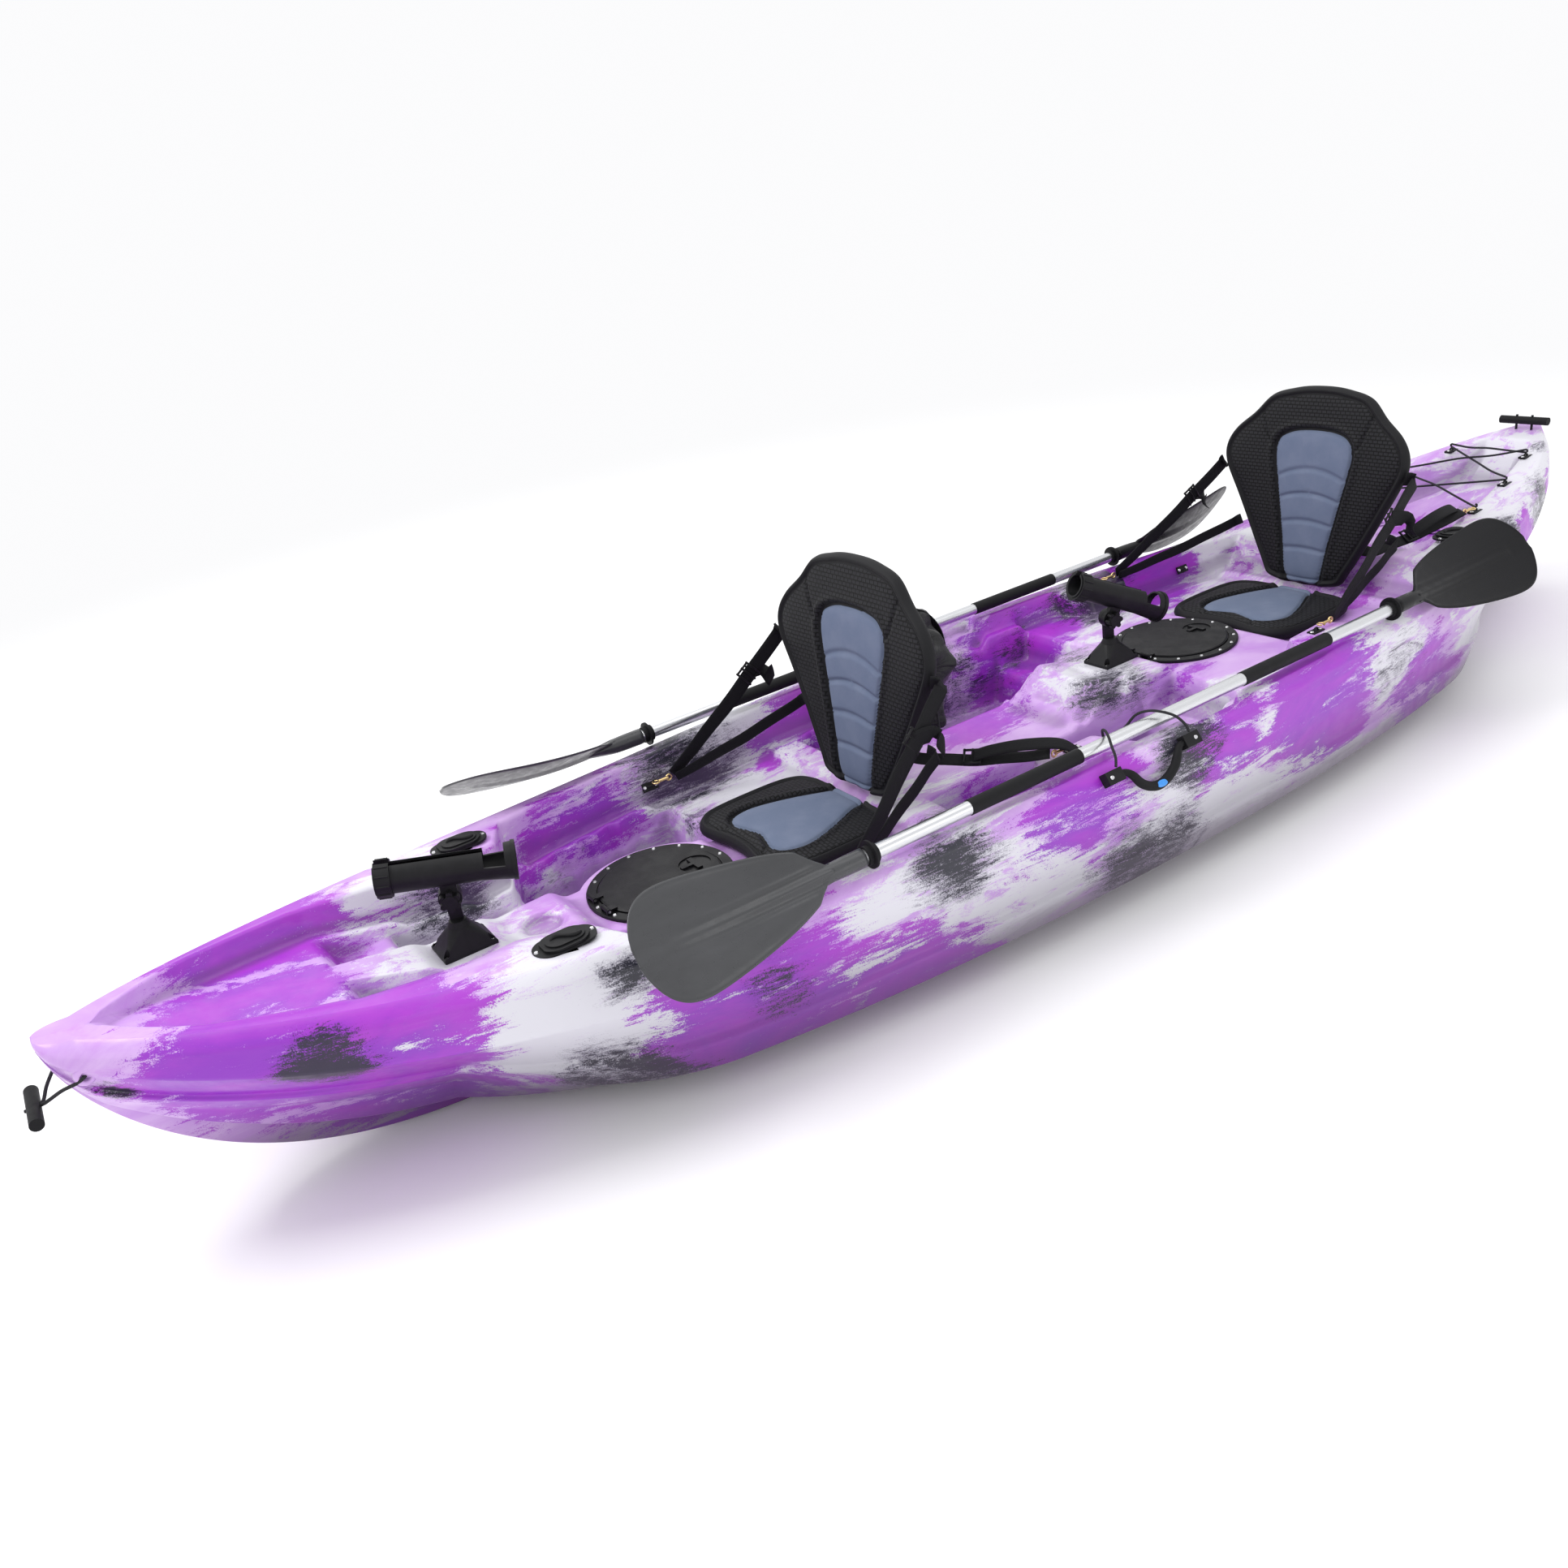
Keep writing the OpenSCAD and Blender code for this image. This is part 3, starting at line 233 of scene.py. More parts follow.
def make(name, verts, faces, body, material, replaces=(), slot=None):
    me = bpy.data.meshes.new(name)
    me.from_pydata([tuple(v) for v in verts], [], [tuple(int(i) for i in f) for f in faces])
    me.validate()
    me.update()
    me.polygons.foreach_set("use_smooth", [True] * len(me.polygons))
    o = link(bpy.data.objects.new(name, me))
    me.materials.append(material)
    if body:
        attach(o, body)
    if replaces:
        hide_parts(*replaces)
    return o


def grid_faces(rows, cols):
    """Quads of a grid of rows that each close on themselves."""
    i, j = np.meshgrid(np.arange(rows - 1), np.arange(cols), indexing="ij")
    a = i * cols + j
    b = i * cols + (j + 1) % cols
    return np.stack([a, b, b + cols, a + cols], -1).reshape(-1, 4)


def quads(rows, cols):
    return [tuple(q) for q in grid_faces(rows, cols)]


def lengths(path):
    """Distance along a path to each of its points."""
    return np.concatenate([[0], np.cumsum(np.linalg.norm(np.diff(path, axis=0), axis=1))])


def attribute(o, name, values):
    values = np.asarray(values, dtype=np.float32)
    if values.ndim == 1:
        a = o.data.attributes.new(name, "FLOAT", "POINT")
        a.data.foreach_set("value", values)
    else:
        a = o.data.attributes.new(name, "FLOAT_VECTOR", "POINT")
        a.data.foreach_set("vector", values.reshape(-1))


def spline(points, step):
    """Points on a smooth curve through the given ones, about step apart."""
    p = np.asarray(points, float)
    q = np.vstack([2 * p[0] - p[1], p, 2 * p[-1] - p[-2]])
    out = []
    for i in range(1, len(q) - 2):
        n = max(1, int(np.ceil(np.linalg.norm(q[i + 1] - q[i]) / step)))
        for k in range(n):
            t = k / n
            out.append(0.5 * (2 * q[i] + (q[i + 1] - q[i - 1]) * t
                              + (2 * q[i - 1] - 5 * q[i] + 4 * q[i + 1] - q[i + 2]) * t * t
                              + (3 * q[i] - q[i - 1] - 3 * q[i + 1] + q[i + 2]) * t ** 3))
    out.append(p[-1])
    return np.array(out)


def frames(path):
    """Directions along a path and two across it that turn as little as they can."""
    d = np.gradient(path, axis=0)
    d /= np.linalg.norm(d, axis=1)[:, None]
    u = np.cross(d[0], (0, 0, 1.0) if abs(d[0][2]) < 0.9 else (1.0, 0, 0))
    us = []
    for k in d:
        u = u - k * np.dot(u, k)
        u = u / np.linalg.norm(u)
        us.append(u)
    us = np.array(us)
    return d, us, np.cross(d, us)


def tube(name, points, r, body, material, step=0.006, sides=12, **kw):
    """A round bar or cord along a path, with a low cone on each end; r may be a list along it."""
    path = spline(points, step)
    rs = np.full(len(path), r) if np.isscalar(r) else np.interp(np.linspace(0, 1, len(path)),
                                                               np.linspace(0, 1, len(r)), r)
    d, u, v = frames(path)
    t = np.linspace(0, 2 * np.pi, sides, endpoint=False)
    ring = (np.cos(t)[None, :, None] * u[:, None] + np.sin(t)[None, :, None] * v[:, None]) * rs[:, None, None]
    verts = (path[:, None] + ring).reshape(-1, 3)
    n, last = len(verts), (len(path) - 1) * sides
    verts = np.vstack([verts, path[0] - d[0] * rs[0] * 0.4, path[-1] + d[-1] * rs[-1] * 0.4])
    faces = quads(len(path), sides)
    faces += [(n, (j + 1) % sides, j) for j in range(sides)]
    faces += [(n + 1, last + j, last + (j + 1) % sides) for j in range(sides)]
    o = make(name, verts, faces, body, material, **kw)
    along = lengths(path)
    uv = np.stack([np.repeat(along, sides), np.tile(t / (2 * np.pi), len(path))], -1)
    uv = np.vstack([uv, [[0, 0], [along[-1], 0]]])
    attribute(o, "run", np.column_stack([uv, np.zeros(len(uv))]))
    return o


def ribbon(name, points, width, body, material, hints, thick=0.0018, step=0.008, wave=0.0, **kw):
    """Webbing along a path; hints are the width directions at its two ends (or at every point)."""
    path = spline(points, step)
    n = len(path)
    d = np.gradient(path, axis=0)
    d /= np.linalg.norm(d, axis=1)[:, None]
    hints = np.asarray(hints, float)
    t = np.linspace(0, len(hints) - 1, n)
    w = np.stack([np.interp(t, np.arange(len(hints)), hints[:, k]) for k in range(3)], -1)
    w -= d * np.sum(w * d, axis=1)[:, None]
    w /= np.linalg.norm(w, axis=1)[:, None]
    up = np.cross(d, w)
    s = np.linspace(0, 1, n)
    path = path + up * (wave * np.sin(s * np.pi * 5) * np.sin(s * np.pi))[:, None]
    prof = [(-0.5, -0.5), (-0.5, 0.5), (-0.25, 0.62), (0.25, 0.62), (0.5, 0.5), (0.5, -0.5), (0.25, -0.62),
            (-0.25, -0.62)]
    verts = np.concatenate([(path + w * (width * a) + up * (thick * b))[:, None] for a, b in prof], 1)
    k = len(prof)
    faces = quads(n, k) + [tuple(range(k))[::-1], tuple((n - 1) * k + i for i in range(k))]
    o = make(name, verts.reshape(-1, 3), faces, body, material, **kw)
    uv = np.zeros((n, k, 3))
    uv[..., 0] = lengths(path)[:, None]
    uv[..., 1] = np.array([a for a, b in prof])[None] * width
    attribute(o, "run", uv.reshape(-1, 3))
    return o


# ---- materials ---------------------------------------------------------------------


class Mat:
    """A small writer of node materials."""

    def __init__(self, name, rough=0.5, metal=0.0, spec=0.5, sheen=0.0, coat=0.0):
        self.m = bpy.data.materials.new(name)
        self.m.use_nodes = True
        self.t = self.m.node_tree
        self.bsdf = self.t.nodes["Principled BSDF"]
        self.put(self.bsdf, "Roughness", rough)
        self.put(self.bsdf, "Metallic", metal)
        self.put(self.bsdf, "Specular IOR Level", spec)
        self.put(self.bsdf, "Sheen Weight", sheen)
        self.put(self.bsdf, "Coat Weight", coat)

    def put(self, node, key, value):
        s = node.inputs[key]
        if isinstance(value, bpy.types.NodeSocket):
            self.t.links.new(value, s)
        elif s.type == "RGBA":
            s.default_value = (*value[:3], 1)
        else:
            s.default_value = value

    def node(self, kind, out=0, props=(), **inputs):
        n = self.t.nodes.new(kind)
        for k, v in dict(props).items():
            setattr(n, k, v)
        for k, v in inputs.items():
            self.put(n, int(k[1:]) if k[0] == "_" and k[1:].isdigit() else k.replace("_", " "), v)
        return n.outputs[out]

    def where(self, scale=(1, 1, 1), rotate=(0, 0, 0)):
        c = self.t.nodes.new("ShaderNodeTexCoord").outputs["Object"]
        return self.node("ShaderNodeMapping", Vector=c, Scale=scale, Rotation=rotate)

    def attr(self, name, out="Vector"):
        n = self.t.nodes.new("ShaderNodeAttribute")
        n.attribute_name = name
        return n.outputs[out]

    def noise(self, at, scale, detail=4, rough=0.55, warp=0.0):
        return self.node("ShaderNodeTexNoise", Vector=at, Scale=scale, Detail=detail, Roughness=rough,
                         Distortion=warp)

    def math(self, op, a, b, clamp=False):
        return self.node("ShaderNodeMath", 0, {"operation": op, "use_clamp": clamp}, _0=a, _1=b)

    def add(self, *terms):
        total = terms[0]
        for term in terms[1:]:
            total = self.math("ADD", total, term)
        return total

    def times(self, a, b):
        return self.math("MULTIPLY", a, b)

    def span(self, value, lo, hi, a=0.0, b=1.0):
        """Maps lo..hi to a..b with soft ends."""
        return self.node("ShaderNodeMapRange", 0, {"interpolation_type": "SMOOTHSTEP"}, Value=value,
                         From_Min=lo, From_Max=hi, To_Min=a, To_Max=b)

    def mix(self, f, a, b):
        n = self.t.nodes.new("ShaderNodeMix")
        n.data_type = "RGBA"
        for k, v in ((0, f), (6, a), (7, b)):
            s = n.inputs[k]
            if isinstance(v, bpy.types.NodeSocket):
                self.t.links.new(v, s)
            else:
                s.default_value = v if k == 0 else (*v[:3], 1)
        return n.outputs[2]

    def colour(self, c):
        self.put(self.bsdf, "Base Color", c)

    def rough(self, v):
        self.put(self.bsdf, "Roughness", v)

    def bump(self, height, strength, distance):
        """Adds a bump on top of those already there."""
        old = self.bsdf.inputs["Normal"].links
        below = {"Normal": old[0].from_socket} if old else {}
        self.put(self.bsdf, "Normal", self.node("ShaderNodeBump", Height=height, Strength=strength,
                                                Distance=distance, **below))


LILAC = (0.53, 0.28, 0.70)
PURPLE = (0.25, 0.010, 0.50)
MAGENTA = (0.38, 0.020, 0.55)
WHITE = (0.70, 0.69, 0.75)
GREY = (0.31, 0.27, 0.34)
INK = (0.007, 0.008, 0.018)
PALE_LILAC = (0.64, 0.42, 0.77)
VIOLET = (0.50, 0.12, 0.68)
SMOKE = (0.20, 0.18, 0.25)
PIT_SHADE = (0.09, 0.04, 0.14)
UNDER_SHADE = (0.045, 0.030, 0.055)


def hull_material():
    """Marbled plastic: patches set by the mesh's zones, their edges broken by dragged noise; painted shade
    darkens the deck's hollows and the underside.
    """
    m = Mat("marbled_plastic", rough=0.36, spec=0.5, coat=0.12)
    sep = m.t.nodes.new("ShaderNodeSeparateXYZ")
    m.put(sep, "Vector", m.attr("zone"))
    purple, ink, white = sep.outputs
    here = m.where((1.3, 0.6, 1.9))
    swirl = m.noise(here, 5.2, 7, 0.62, 1.0)
    drag = m.noise(m.where((11, 3.2, 21), (0.3, 0.2, 0.5)), 1.9, 10, 0.76, 0.9)
    wisp = m.noise(m.where((20, 6, 44), (0.1, 0.5, 0.2)), 2.8, 8, 0.80, 1.6)
    grain = m.noise(m.where(), 460, 3, 0.75)
    puff = m.noise(m.where((1.1, 0.7, 1.4), (0.7, 0.1, 0.9)), 6.1, 8, 0.68, 1.4)

    def spread(n, gain):
        return m.times(m.math("SUBTRACT", n, 0.5), gain)
    speck = spread(grain, 0.55)
    p = m.add(purple, spread(swirl, 1.55), spread(drag, 1.25), spread(wisp, 0.6), speck)
    k = m.add(ink, spread(puff, 1.5), spread(wisp, 1.5), spread(grain, 0.9))
    w = m.add(white, spread(drag, 1.9), speck, spread(swirl, -1.5))
    tone = m.mix(m.span(m.noise(here, 9, 5, 0.6, 0.8), 0.35, 0.7), LILAC, PALE_LILAC)
    tone = m.mix(m.span(puff, 0.50, 0.72, 0.0, 0.55), tone, VIOLET)
    tone = m.mix(m.span(w, 0.42, 0.66), tone, WHITE)
    height = m.node("ShaderNodeSeparateXYZ", 2, Vector=m.where())
    # Painted shade: greyer and darker towards the bottom, its edge broken by the dragged noise.
    low = m.add(m.span(height, 0.16, 0.05), spread(drag, 1.2))
    tone = m.mix(m.span(low, 0.35, 0.95, 0.0, 0.75), tone, GREY)
    tone = m.mix(m.span(k, 0.40, 0.78, 0.0, 0.80), tone, SMOKE)
    vivid = m.mix(m.span(swirl, 0.35, 0.65), PURPLE, MAGENTA)
    tone = m.mix(m.span(p, 0.48, 0.62, 0.0, 0.96), tone, vivid)
    tone = m.mix(m.span(k, 0.66, 0.86, 0.0, 0.96), tone, INK)
    # Painted shade in the deck's hollows and the round dish, tinted towards PIT_SHADE.
    pit = m.attr("pit", "Fac")
    tone = m.mix(m.span(pit, 0.0, 1.0, 0.0, 0.80), tone, m.mix(0.55, tone, PIT_SHADE))
    # Painted shade: the outer skin darkens further towards the bottom, outside the deck's hollows.
    dim = m.times(m.span(height, 0.04, 0.24, 0.85, 0.0), m.span(pit, 0.0, 0.3, 1.0, 0.0))
    tone = m.mix(dim, tone, m.mix(0.8, tone, UNDER_SHADE))
    m.colour(tone)
    m.rough(m.span(m.noise(m.where(), 38, 4), 0.3, 0.7, 0.30, 0.44))
    m.bump(m.noise(m.where(), 260, 3), 0.10, 0.0006)
    m.bump(m.noise(m.where((1, 0.6, 1)), 11, 2), 0.35, 0.004)
    return m.m


def moulded_black(name, base=(0.009, 0.009, 0.010), rough=0.5, grain=900, depth=0.22):
    m = Mat(name, rough=rough, spec=0.2)
    n = m.noise(m.where(), grain, 3, 0.6)
    worn = m.noise(m.where(), 26, 5, 0.6, 0.5)
    m.colour(m.mix(m.span(worn, 0.4, 0.8), base, tuple(min(1, c * 1.6 + 0.002) for c in base)))
    m.rough(m.span(worn, 0.3, 0.75, rough - 0.10, rough + 0.10))
    m.bump(n, depth, 0.0004)
    return m.m


def metal(name, colour, rough, scale=(40, 900, 900)):
    m = Mat(name, rough=rough, metal=1.0)
    n = m.noise(m.where(scale), 3.0, 4, 0.6)
    m.colour(m.mix(m.span(n, 0.3, 0.7), colour, tuple(c * 0.86 for c in colour)))
    m.rough(m.span(n, 0.2, 0.8, rough - 0.07, rough + 0.09))
    m.bump(n, 0.08, 0.0003)
    return m.m


def webbing_material():
    m = Mat("webbing", rough=0.75, spec=0.2)
    run = m.attr("run")
    weave = m.node("ShaderNodeTexWave", 1, {"wave_type": "BANDS", "bands_direction": "X"},
                   Vector=run, Scale=190.0, Distortion=0.6, Detail=1.0)
    ribs = m.node("ShaderNodeTexWave", 1, {"wave_type": "BANDS", "bands_direction": "Y"},
                  Vector=run, Scale=260.0, Distortion=0.4)
    both = m.add(m.times(weave, 0.7), m.times(ribs, 0.5))
    m.colour(m.mix(both, (0.003, 0.003, 0.004), (0.014, 0.014, 0.016)))
    m.bump(both, 0.5, 0.0007)
    return m.m


def cord_material():
    m = Mat("braided_cord", rough=0.75, spec=0.3)
    run = m.node("ShaderNodeMapping", Vector=m.attr("run"), Scale=(1, 0.006, 1))
    a = m.node("ShaderNodeTexWave", 1, {"bands_direction": "DIAGONAL"}, Vector=run, Scale=260.0)
    m.colour(m.mix(a, (0.008, 0.008, 0.010), (0.035, 0.035, 0.04)))
    m.bump(a, 0.6, 0.0005)
    return m.m


def seat_material():
    """Black moulded fabric with a cell weave, smooth borders and a grey panel, told apart by attributes."""
    m = Mat("seat_cloth", rough=0.72, spec=0.22, sheen=0.02)
    uv = m.attr("run")
    cells = m.node("ShaderNodeTexBrick", Vector=uv, Scale=1.0, Mortar_Size=0.0016, Mortar_Smooth=0.5,
                   Brick_Width=0.0120, Row_Height=0.0080, Color1=(1, 1, 1), Color2=(0.9, 0.9, 0.9),
                   Mortar=(0, 0, 0))
    knit = m.noise(uv, 900, 3, 0.6)
    woven = m.span(m.attr("woven", "Fac"), -0.001, 0.001)
    grey = m.span(m.attr("grey", "Fac"), -0.0007, 0.0007)
    black = m.mix(m.times(cells, woven), (0.001, 0.001, 0.0015), (0.017, 0.017, 0.020))
    edge = m.mix(knit, (0.005, 0.005, 0.006), (0.010, 0.010, 0.012))
    dark = m.mix(woven, edge, black)
    fleck = m.noise(uv, 1500, 2, 0.8)
    wash = m.noise(uv, 14, 4, 0.6)
    pale = m.mix(m.span(fleck, 0.3, 0.7), (0.095, 0.125, 0.20), (0.165, 0.20, 0.29))
    pale = m.mix(m.span(wash, 0.35, 0.75, 0.0, 0.35), pale, (0.22, 0.25, 0.34))
    m.colour(m.mix(grey, dark, pale))
    m.rough(m.span(grey, 0.0, 1.0, 0.62, 0.82))
    m.bump(m.times(cells, m.math("SUBTRACT", woven, grey, clamp=True)), 0.9, 0.0012)
    m.bump(fleck, 0.25, 0.0004)
    return m.m


def nylon_material():
    m = Mat("bag_nylon", rough=0.5, spec=0.35)
    folds = m.noise(m.where((1, 1, 2.2)), 17, 5, 0.6, 1.2)
    # Painted shade and sheen: the colour follows the fold bumps, darker in their hollows and lighter on their
    # crests.
    m.colour(m.mix(folds, (0.004, 0.004, 0.005), (0.012, 0.012, 0.014)))
    m.rough(m.span(folds, 0.3, 0.7, 0.38, 0.6))
    m.bump(folds, 0.8, 0.008)
    m.bump(m.noise(m.where(), 1400, 2, 0.8), 0.3, 0.0004)
    return m.m


def blade_material(name, base, shine):
    m = Mat(name, rough=0.27, spec=shine, coat=0.3 * shine)
    n = m.noise(m.where((1, 0.25, 1)), 9, 5, 0.6, 0.6)
    m.colour(m.mix(m.span(n, 0.3, 0.75), base, tuple(c * 1.7 for c in base)))
    m.rough(m.span(m.noise(m.where(), 60, 4), 0.3, 0.7, 0.26, 0.42))
    m.bump(m.noise(m.where(), 700, 2), 0.12, 0.0004)
    return m.m


def oval_material():
    m = Mat("blue_inlay", rough=0.25, spec=0.5, coat=0.4)
    n = m.noise(m.where(), 300, 2)
    m.colour(m.mix(n, (0.02, 0.22, 0.72), (0.03, 0.32, 0.85)))
    return m.m


# ---- the hull ------------------------------------------------------------------------


def filleted(points, r, steps=5):
    """Rounds the corners of a polyline, always giving the same number of points."""
    out = [points[0]]
    for i in range(1, len(points) - 1):
        p, q, s = (np.array(points[k], float) for k in (i - 1, i, i + 1))
        a, b = np.linalg.norm(p - q), np.linalg.norm(s - q)
        p = q + (p - q) * min(r, 0.42 * a) / max(a, 1e-6)
        s = q + (s - q) * min(r, 0.42 * b) / max(b, 1e-6)
        out += [(1 - t) ** 2 * p + 2 * t * (1 - t) * q + t * t * s for t in np.linspace(0, 1, steps)]
    return np.array(out + [points[-1]], float)


def side_profile(y):
    """Section of the skin from the keel up to the rail."""
    w = float(half_w(y))
    k = min(1, w / 60)
    zk, zc, zs, xc = float(keel(y)), float(chine_z(y)), float(sheer(y)), float(chine_x(y))
    zu, e = lerp(zc, zs, 0.6), float(reach(y)) ** 3
    pts = [(0, zk), (min(34, 0.12 * w), zk), (xc * 0.42, lerp(zk, zc, 0.8)),
           (xc * 0.74, lerp(zk, zc, 0.3 + 0.4 * e)), (xc, zc),
           (lerp(xc, w, 0.30) + 8 * k, lerp(zc, zu, 0.34)), (lerp(xc, w, 0.36) - 3 * k, lerp(zc, zu, 0.42)),
           (w, zu), (w - 5 * k, zs - min(24, 0.5 * (zs - zu))), (w - 22 * k, zs)]
    return filleted(pts, 4.5 * k + 0.5)


def deck_stops(y):
    """Places across the deck, from the rail to the middle line, that follow its edges."""
    w = float(half_w(y))
    k = min(1, w / 60)
    r = float(rail_in(y) * bow_round(y))
    q = min(1, r / 70)
    f = max(float(foot_x(y)), 0.55 * r)
    f = min(f, r - 20 * q)
    s = min(float(strip_x(y)), 0.3 * r + 60, 0.8 * f)
    d = min(14, (f - s) / 4)
    marks = [(w - 22 * k, 0), (r + 2 * q, 7), (r - 18 * q, 6), (f, 4), (f - d, 6), (s + d, 14), (s, 6),
             (0, 28)]
    out = [marks[0][0]]
    for (a, _), (b, n) in zip(marks, marks[1:]):
        out += list(np.linspace(a, b, n + 1)[1:])
    return np.array(out)


def blur(z, passes):
    """Evens out a grid of heights."""
    for _ in range(passes):
        z = np.pad(z, 1, mode="edge")
        z = (z[:-2] + 2 * z[1:-1] + z[2:]) / 4
        z = (z[:, :-2] + 2 * z[:, 1:-1] + z[:, 2:]) / 4
    return z


# Patches of colour as (x, y, z), reach and weight, in hundredths of a metre: purple, ink, white
PATCHES = [
    [(16, -162, 27, 16, 100), (20, -147, 25, 17, 100), (12, -170, 16, 12, 90), (0, -155, 33, 15, 75),
     (-14, -152, 36, 14, 80), (10, -138, 5, 20, 80), (36, -90, 15, 17, 85), (36, -62, 7, 15, 75),
     (43, -25, 24, 13, 85), (43, 12, 25, 12, 75), (42, 42, 22, 17, 85), (41, 80, 12, 16, 70),
     (30, 138, 26, 12, 80), (18, 168, 34, 8, 60), (10, -62, 22, 14, 60), (-30, -88, 24, 13, 75),
     (-24, -110, 20, 12, 65), (20, -20, 12, 16, 70), (-10, -5, 22, 13, 70), (-32, 28, 22, 18, 80),
     (12, 33, 25, 10, 55), (-30, 72, 27, 14, 85), (5, 95, 25, 15, 60), (6, 125, 28, 14, 60),
     (-30, 120, 20, 22, 70), (-42, -30, 18, 20, 75), (-20, -150, 20, 18, 80), (-42, 55, 12, 20, 70)],
    [(22, -153, 28, 7.5, 115), (20, -155, 20, 6, 105), (6, -176, 30, 3.5, 95), (35, -107, 28, 6, 100),
     (31, -124, 27, 3, 70), (37, -86, 17, 6.5, 90), (30, -112, 7, 12, 95), (43, -52, 26, 8.5, 95),
     (43, 2, 26, 8, 90), (43, -10, 10, 12, 90), (43, 70, 20, 10, 80), (30, 126, 32, 8, 95),
     (22, 155, 30, 10, 85), (10, 170, 42, 5, 70), (-14, -120, 27, 7, 90), (-20, -72, 24, 9, 80),
     (-34, -62, 26, 12, 90), (-30, 5, 22, 15, 90), (10, 16, 27, 10, 80), (20, -36, 20, 7, 70),
     (-30, 52, 30, 12, 95), (-10, 22, 25, 10, 60), (0, 108, 30, 9, 75), (10, 145, 30, 9, 65),
     (-42, 25, 20, 16, 80), (-36, -100, 16, 12, 80), (-30, 130, 26, 12, 80)],
    [(33, -122, 20, 20, 100), (37, -100, 24, 16, 90), (28, -136, 30, 8, 80), (42, -62, 16, 20, 80),
     (43, -38, 13, 16, 75), (43, 20, 12, 30, 75), (42, 62, 24, 15, 70), (33, 130, 22, 26, 95),
     (18, 170, 32, 18, 100), (20, 145, 40, 16, 80), (0, -122, 27, 14, 80), (-16, -132, 32, 10, 70),
     (6, -38, 22, 12, 60), (-24, -45, 24, 18, 70), (2, 20, 28, 12, 70), (-5, 98, 30, 12, 60),
     (0, 160, 40, 14, 80), (-38, -45, 22, 30, 75), (-38, 75, 22, 35, 70), (-26, -125, 18, 20, 80),
     (-30, 145, 30, 20, 80)]]


def zones(v):
    """How strongly each colour's patches reach each point."""
    out = []
    for patches in PATCHES:
        total = np.zeros(len(v))
        for x, y, z, r, w in np.array(patches) / 100:
            d = ((v[:, 0] - x) ** 2 + ((v[:, 1] - y) / 1.5) ** 2 + (v[:, 2] - z) ** 2) / r ** 2
            total = np.maximum(total, w * np.exp(-d ** 1.5))
        out.append(total)
    return np.stack(out, -1)


def build_hull(material):
    ys = [BOW_END]
    while ys[-1] < STERN_END:
        y = ys[-1]
        ys.append(min(STERN_END, y + (3.5 if y < -1700 or y > 1780 else 6.5)))
    side = np.array([side_profile(y) for y in ys])
    xs = np.array([deck_stops(y) for y in ys])
    yy = np.repeat(np.array(ys)[:, None], xs.shape[1], 1)
    z = blur(deck_z(xs, yy), 1)
    z[:, 0] = side[:, -1, 1]
    half = np.concatenate([side, np.stack([xs[:, 1:], z[:, 1:]], -1)], 1)
    rows, n = half.shape[:2]
    mirror = half[:, -2:0:-1] * (-1, 1)
    ring = np.concatenate([half, mirror], 1)
    cols = ring.shape[1]
    v = np.stack([ring[..., 0], np.repeat(np.array(ys)[:, None], cols, 1), ring[..., 1]], -1).reshape(-1, 3)
    f = grid_faces(rows, cols)[:, ::-1]
    mid = v[f].mean(1)
    cut = np.zeros(len(f), bool)
    holes = [(x, y, HATCH_CUT_R, z0 - 30) for x, y, z0 in HATCHES]
    holes += [(x, y, SCUPPER_CUT_R, -1) for x, y, z0 in SCUPPERS]
    holes += [(x, y, FLUSH_CUT_R, 200) for x, y in FLUSH]
    for x, y, r, above in holes:
        cut |= (np.hypot(mid[:, 0] - x, mid[:, 1] - y) < r) & (mid[:, 2] > above)
    f = f[~cut]
    ends = [tuple(range(cols)), tuple(range((rows - 1) * cols, rows * cols))[::-1]]
    # Painted shade mask: how far each deck point lies below its blurred surroundings, plus the round dish.
    far = blur(z, 40)
    pit = np.zeros((rows, n))
    dish = unit((DISH_R - 1 - np.hypot(xs, yy - DISH_Y)) / 3)
    pit[:, -z.shape[1] + 1:] = np.maximum(np.clip((far - z) / 7.5, 0, 1), dish)[:, 1:]
    pit = np.concatenate([pit, pit[:, -2:0:-1]], 1)
    hull = make("hull_skin", v / 1000, [tuple(q) for q in f] + ends, "kayak", material, ["hull"],
                "hull_plastic")
    attribute(hull, "zone", zones(v / 1000))
    attribute(hull, "pit", pit.reshape(-1))


def lathe(name, profile, at, body, material, n, axis="Z", **kw):
    """Turns (radius, height) pairs round an axis at a point, in metres."""
    t = np.linspace(0, 2 * np.pi, n, endpoint=False)
    p = np.array(profile, float)
    v = np.stack([p[:, None, 0] * np.cos(t), p[:, None, 0] * np.sin(t), np.repeat(p[:, 1:2], n, 1)], -1)
    if axis == "X":
        v = v[..., [2, 0, 1]]
    return make(name, v.reshape(-1, 3) + np.array(at), grid_faces(len(p), n), body, material, **kw)


def zone_small(o):
    """Gives a small moulding the colours of the skin round it."""
    attribute(o, "zone", zones(np.array([tuple(q.co) for q in o.data.vertices])))


def build_nose_lips(material):
    """Moulded rings round the rope hole in the nose, one a side."""
    x = float(half_w(float(HOLE_Y))) * 0.93
    prof = [(0.0062, -0.010), (0.0066, 0.0022), (0.0085, 0.0040), (0.0115, 0.0036), (0.0145, 0.0008),
            (0.0160, -0.006)]
    for s, side in SIDES:
        zone_small(lathe("nose_lip_" + side, [(r, h * s) for r, h in prof],
                         (x * s / 1000, HOLE_Y / 1000, HOLE_Z / 1000), "kayak", material, 32, axis="X",
                         slot="hull_plastic"))


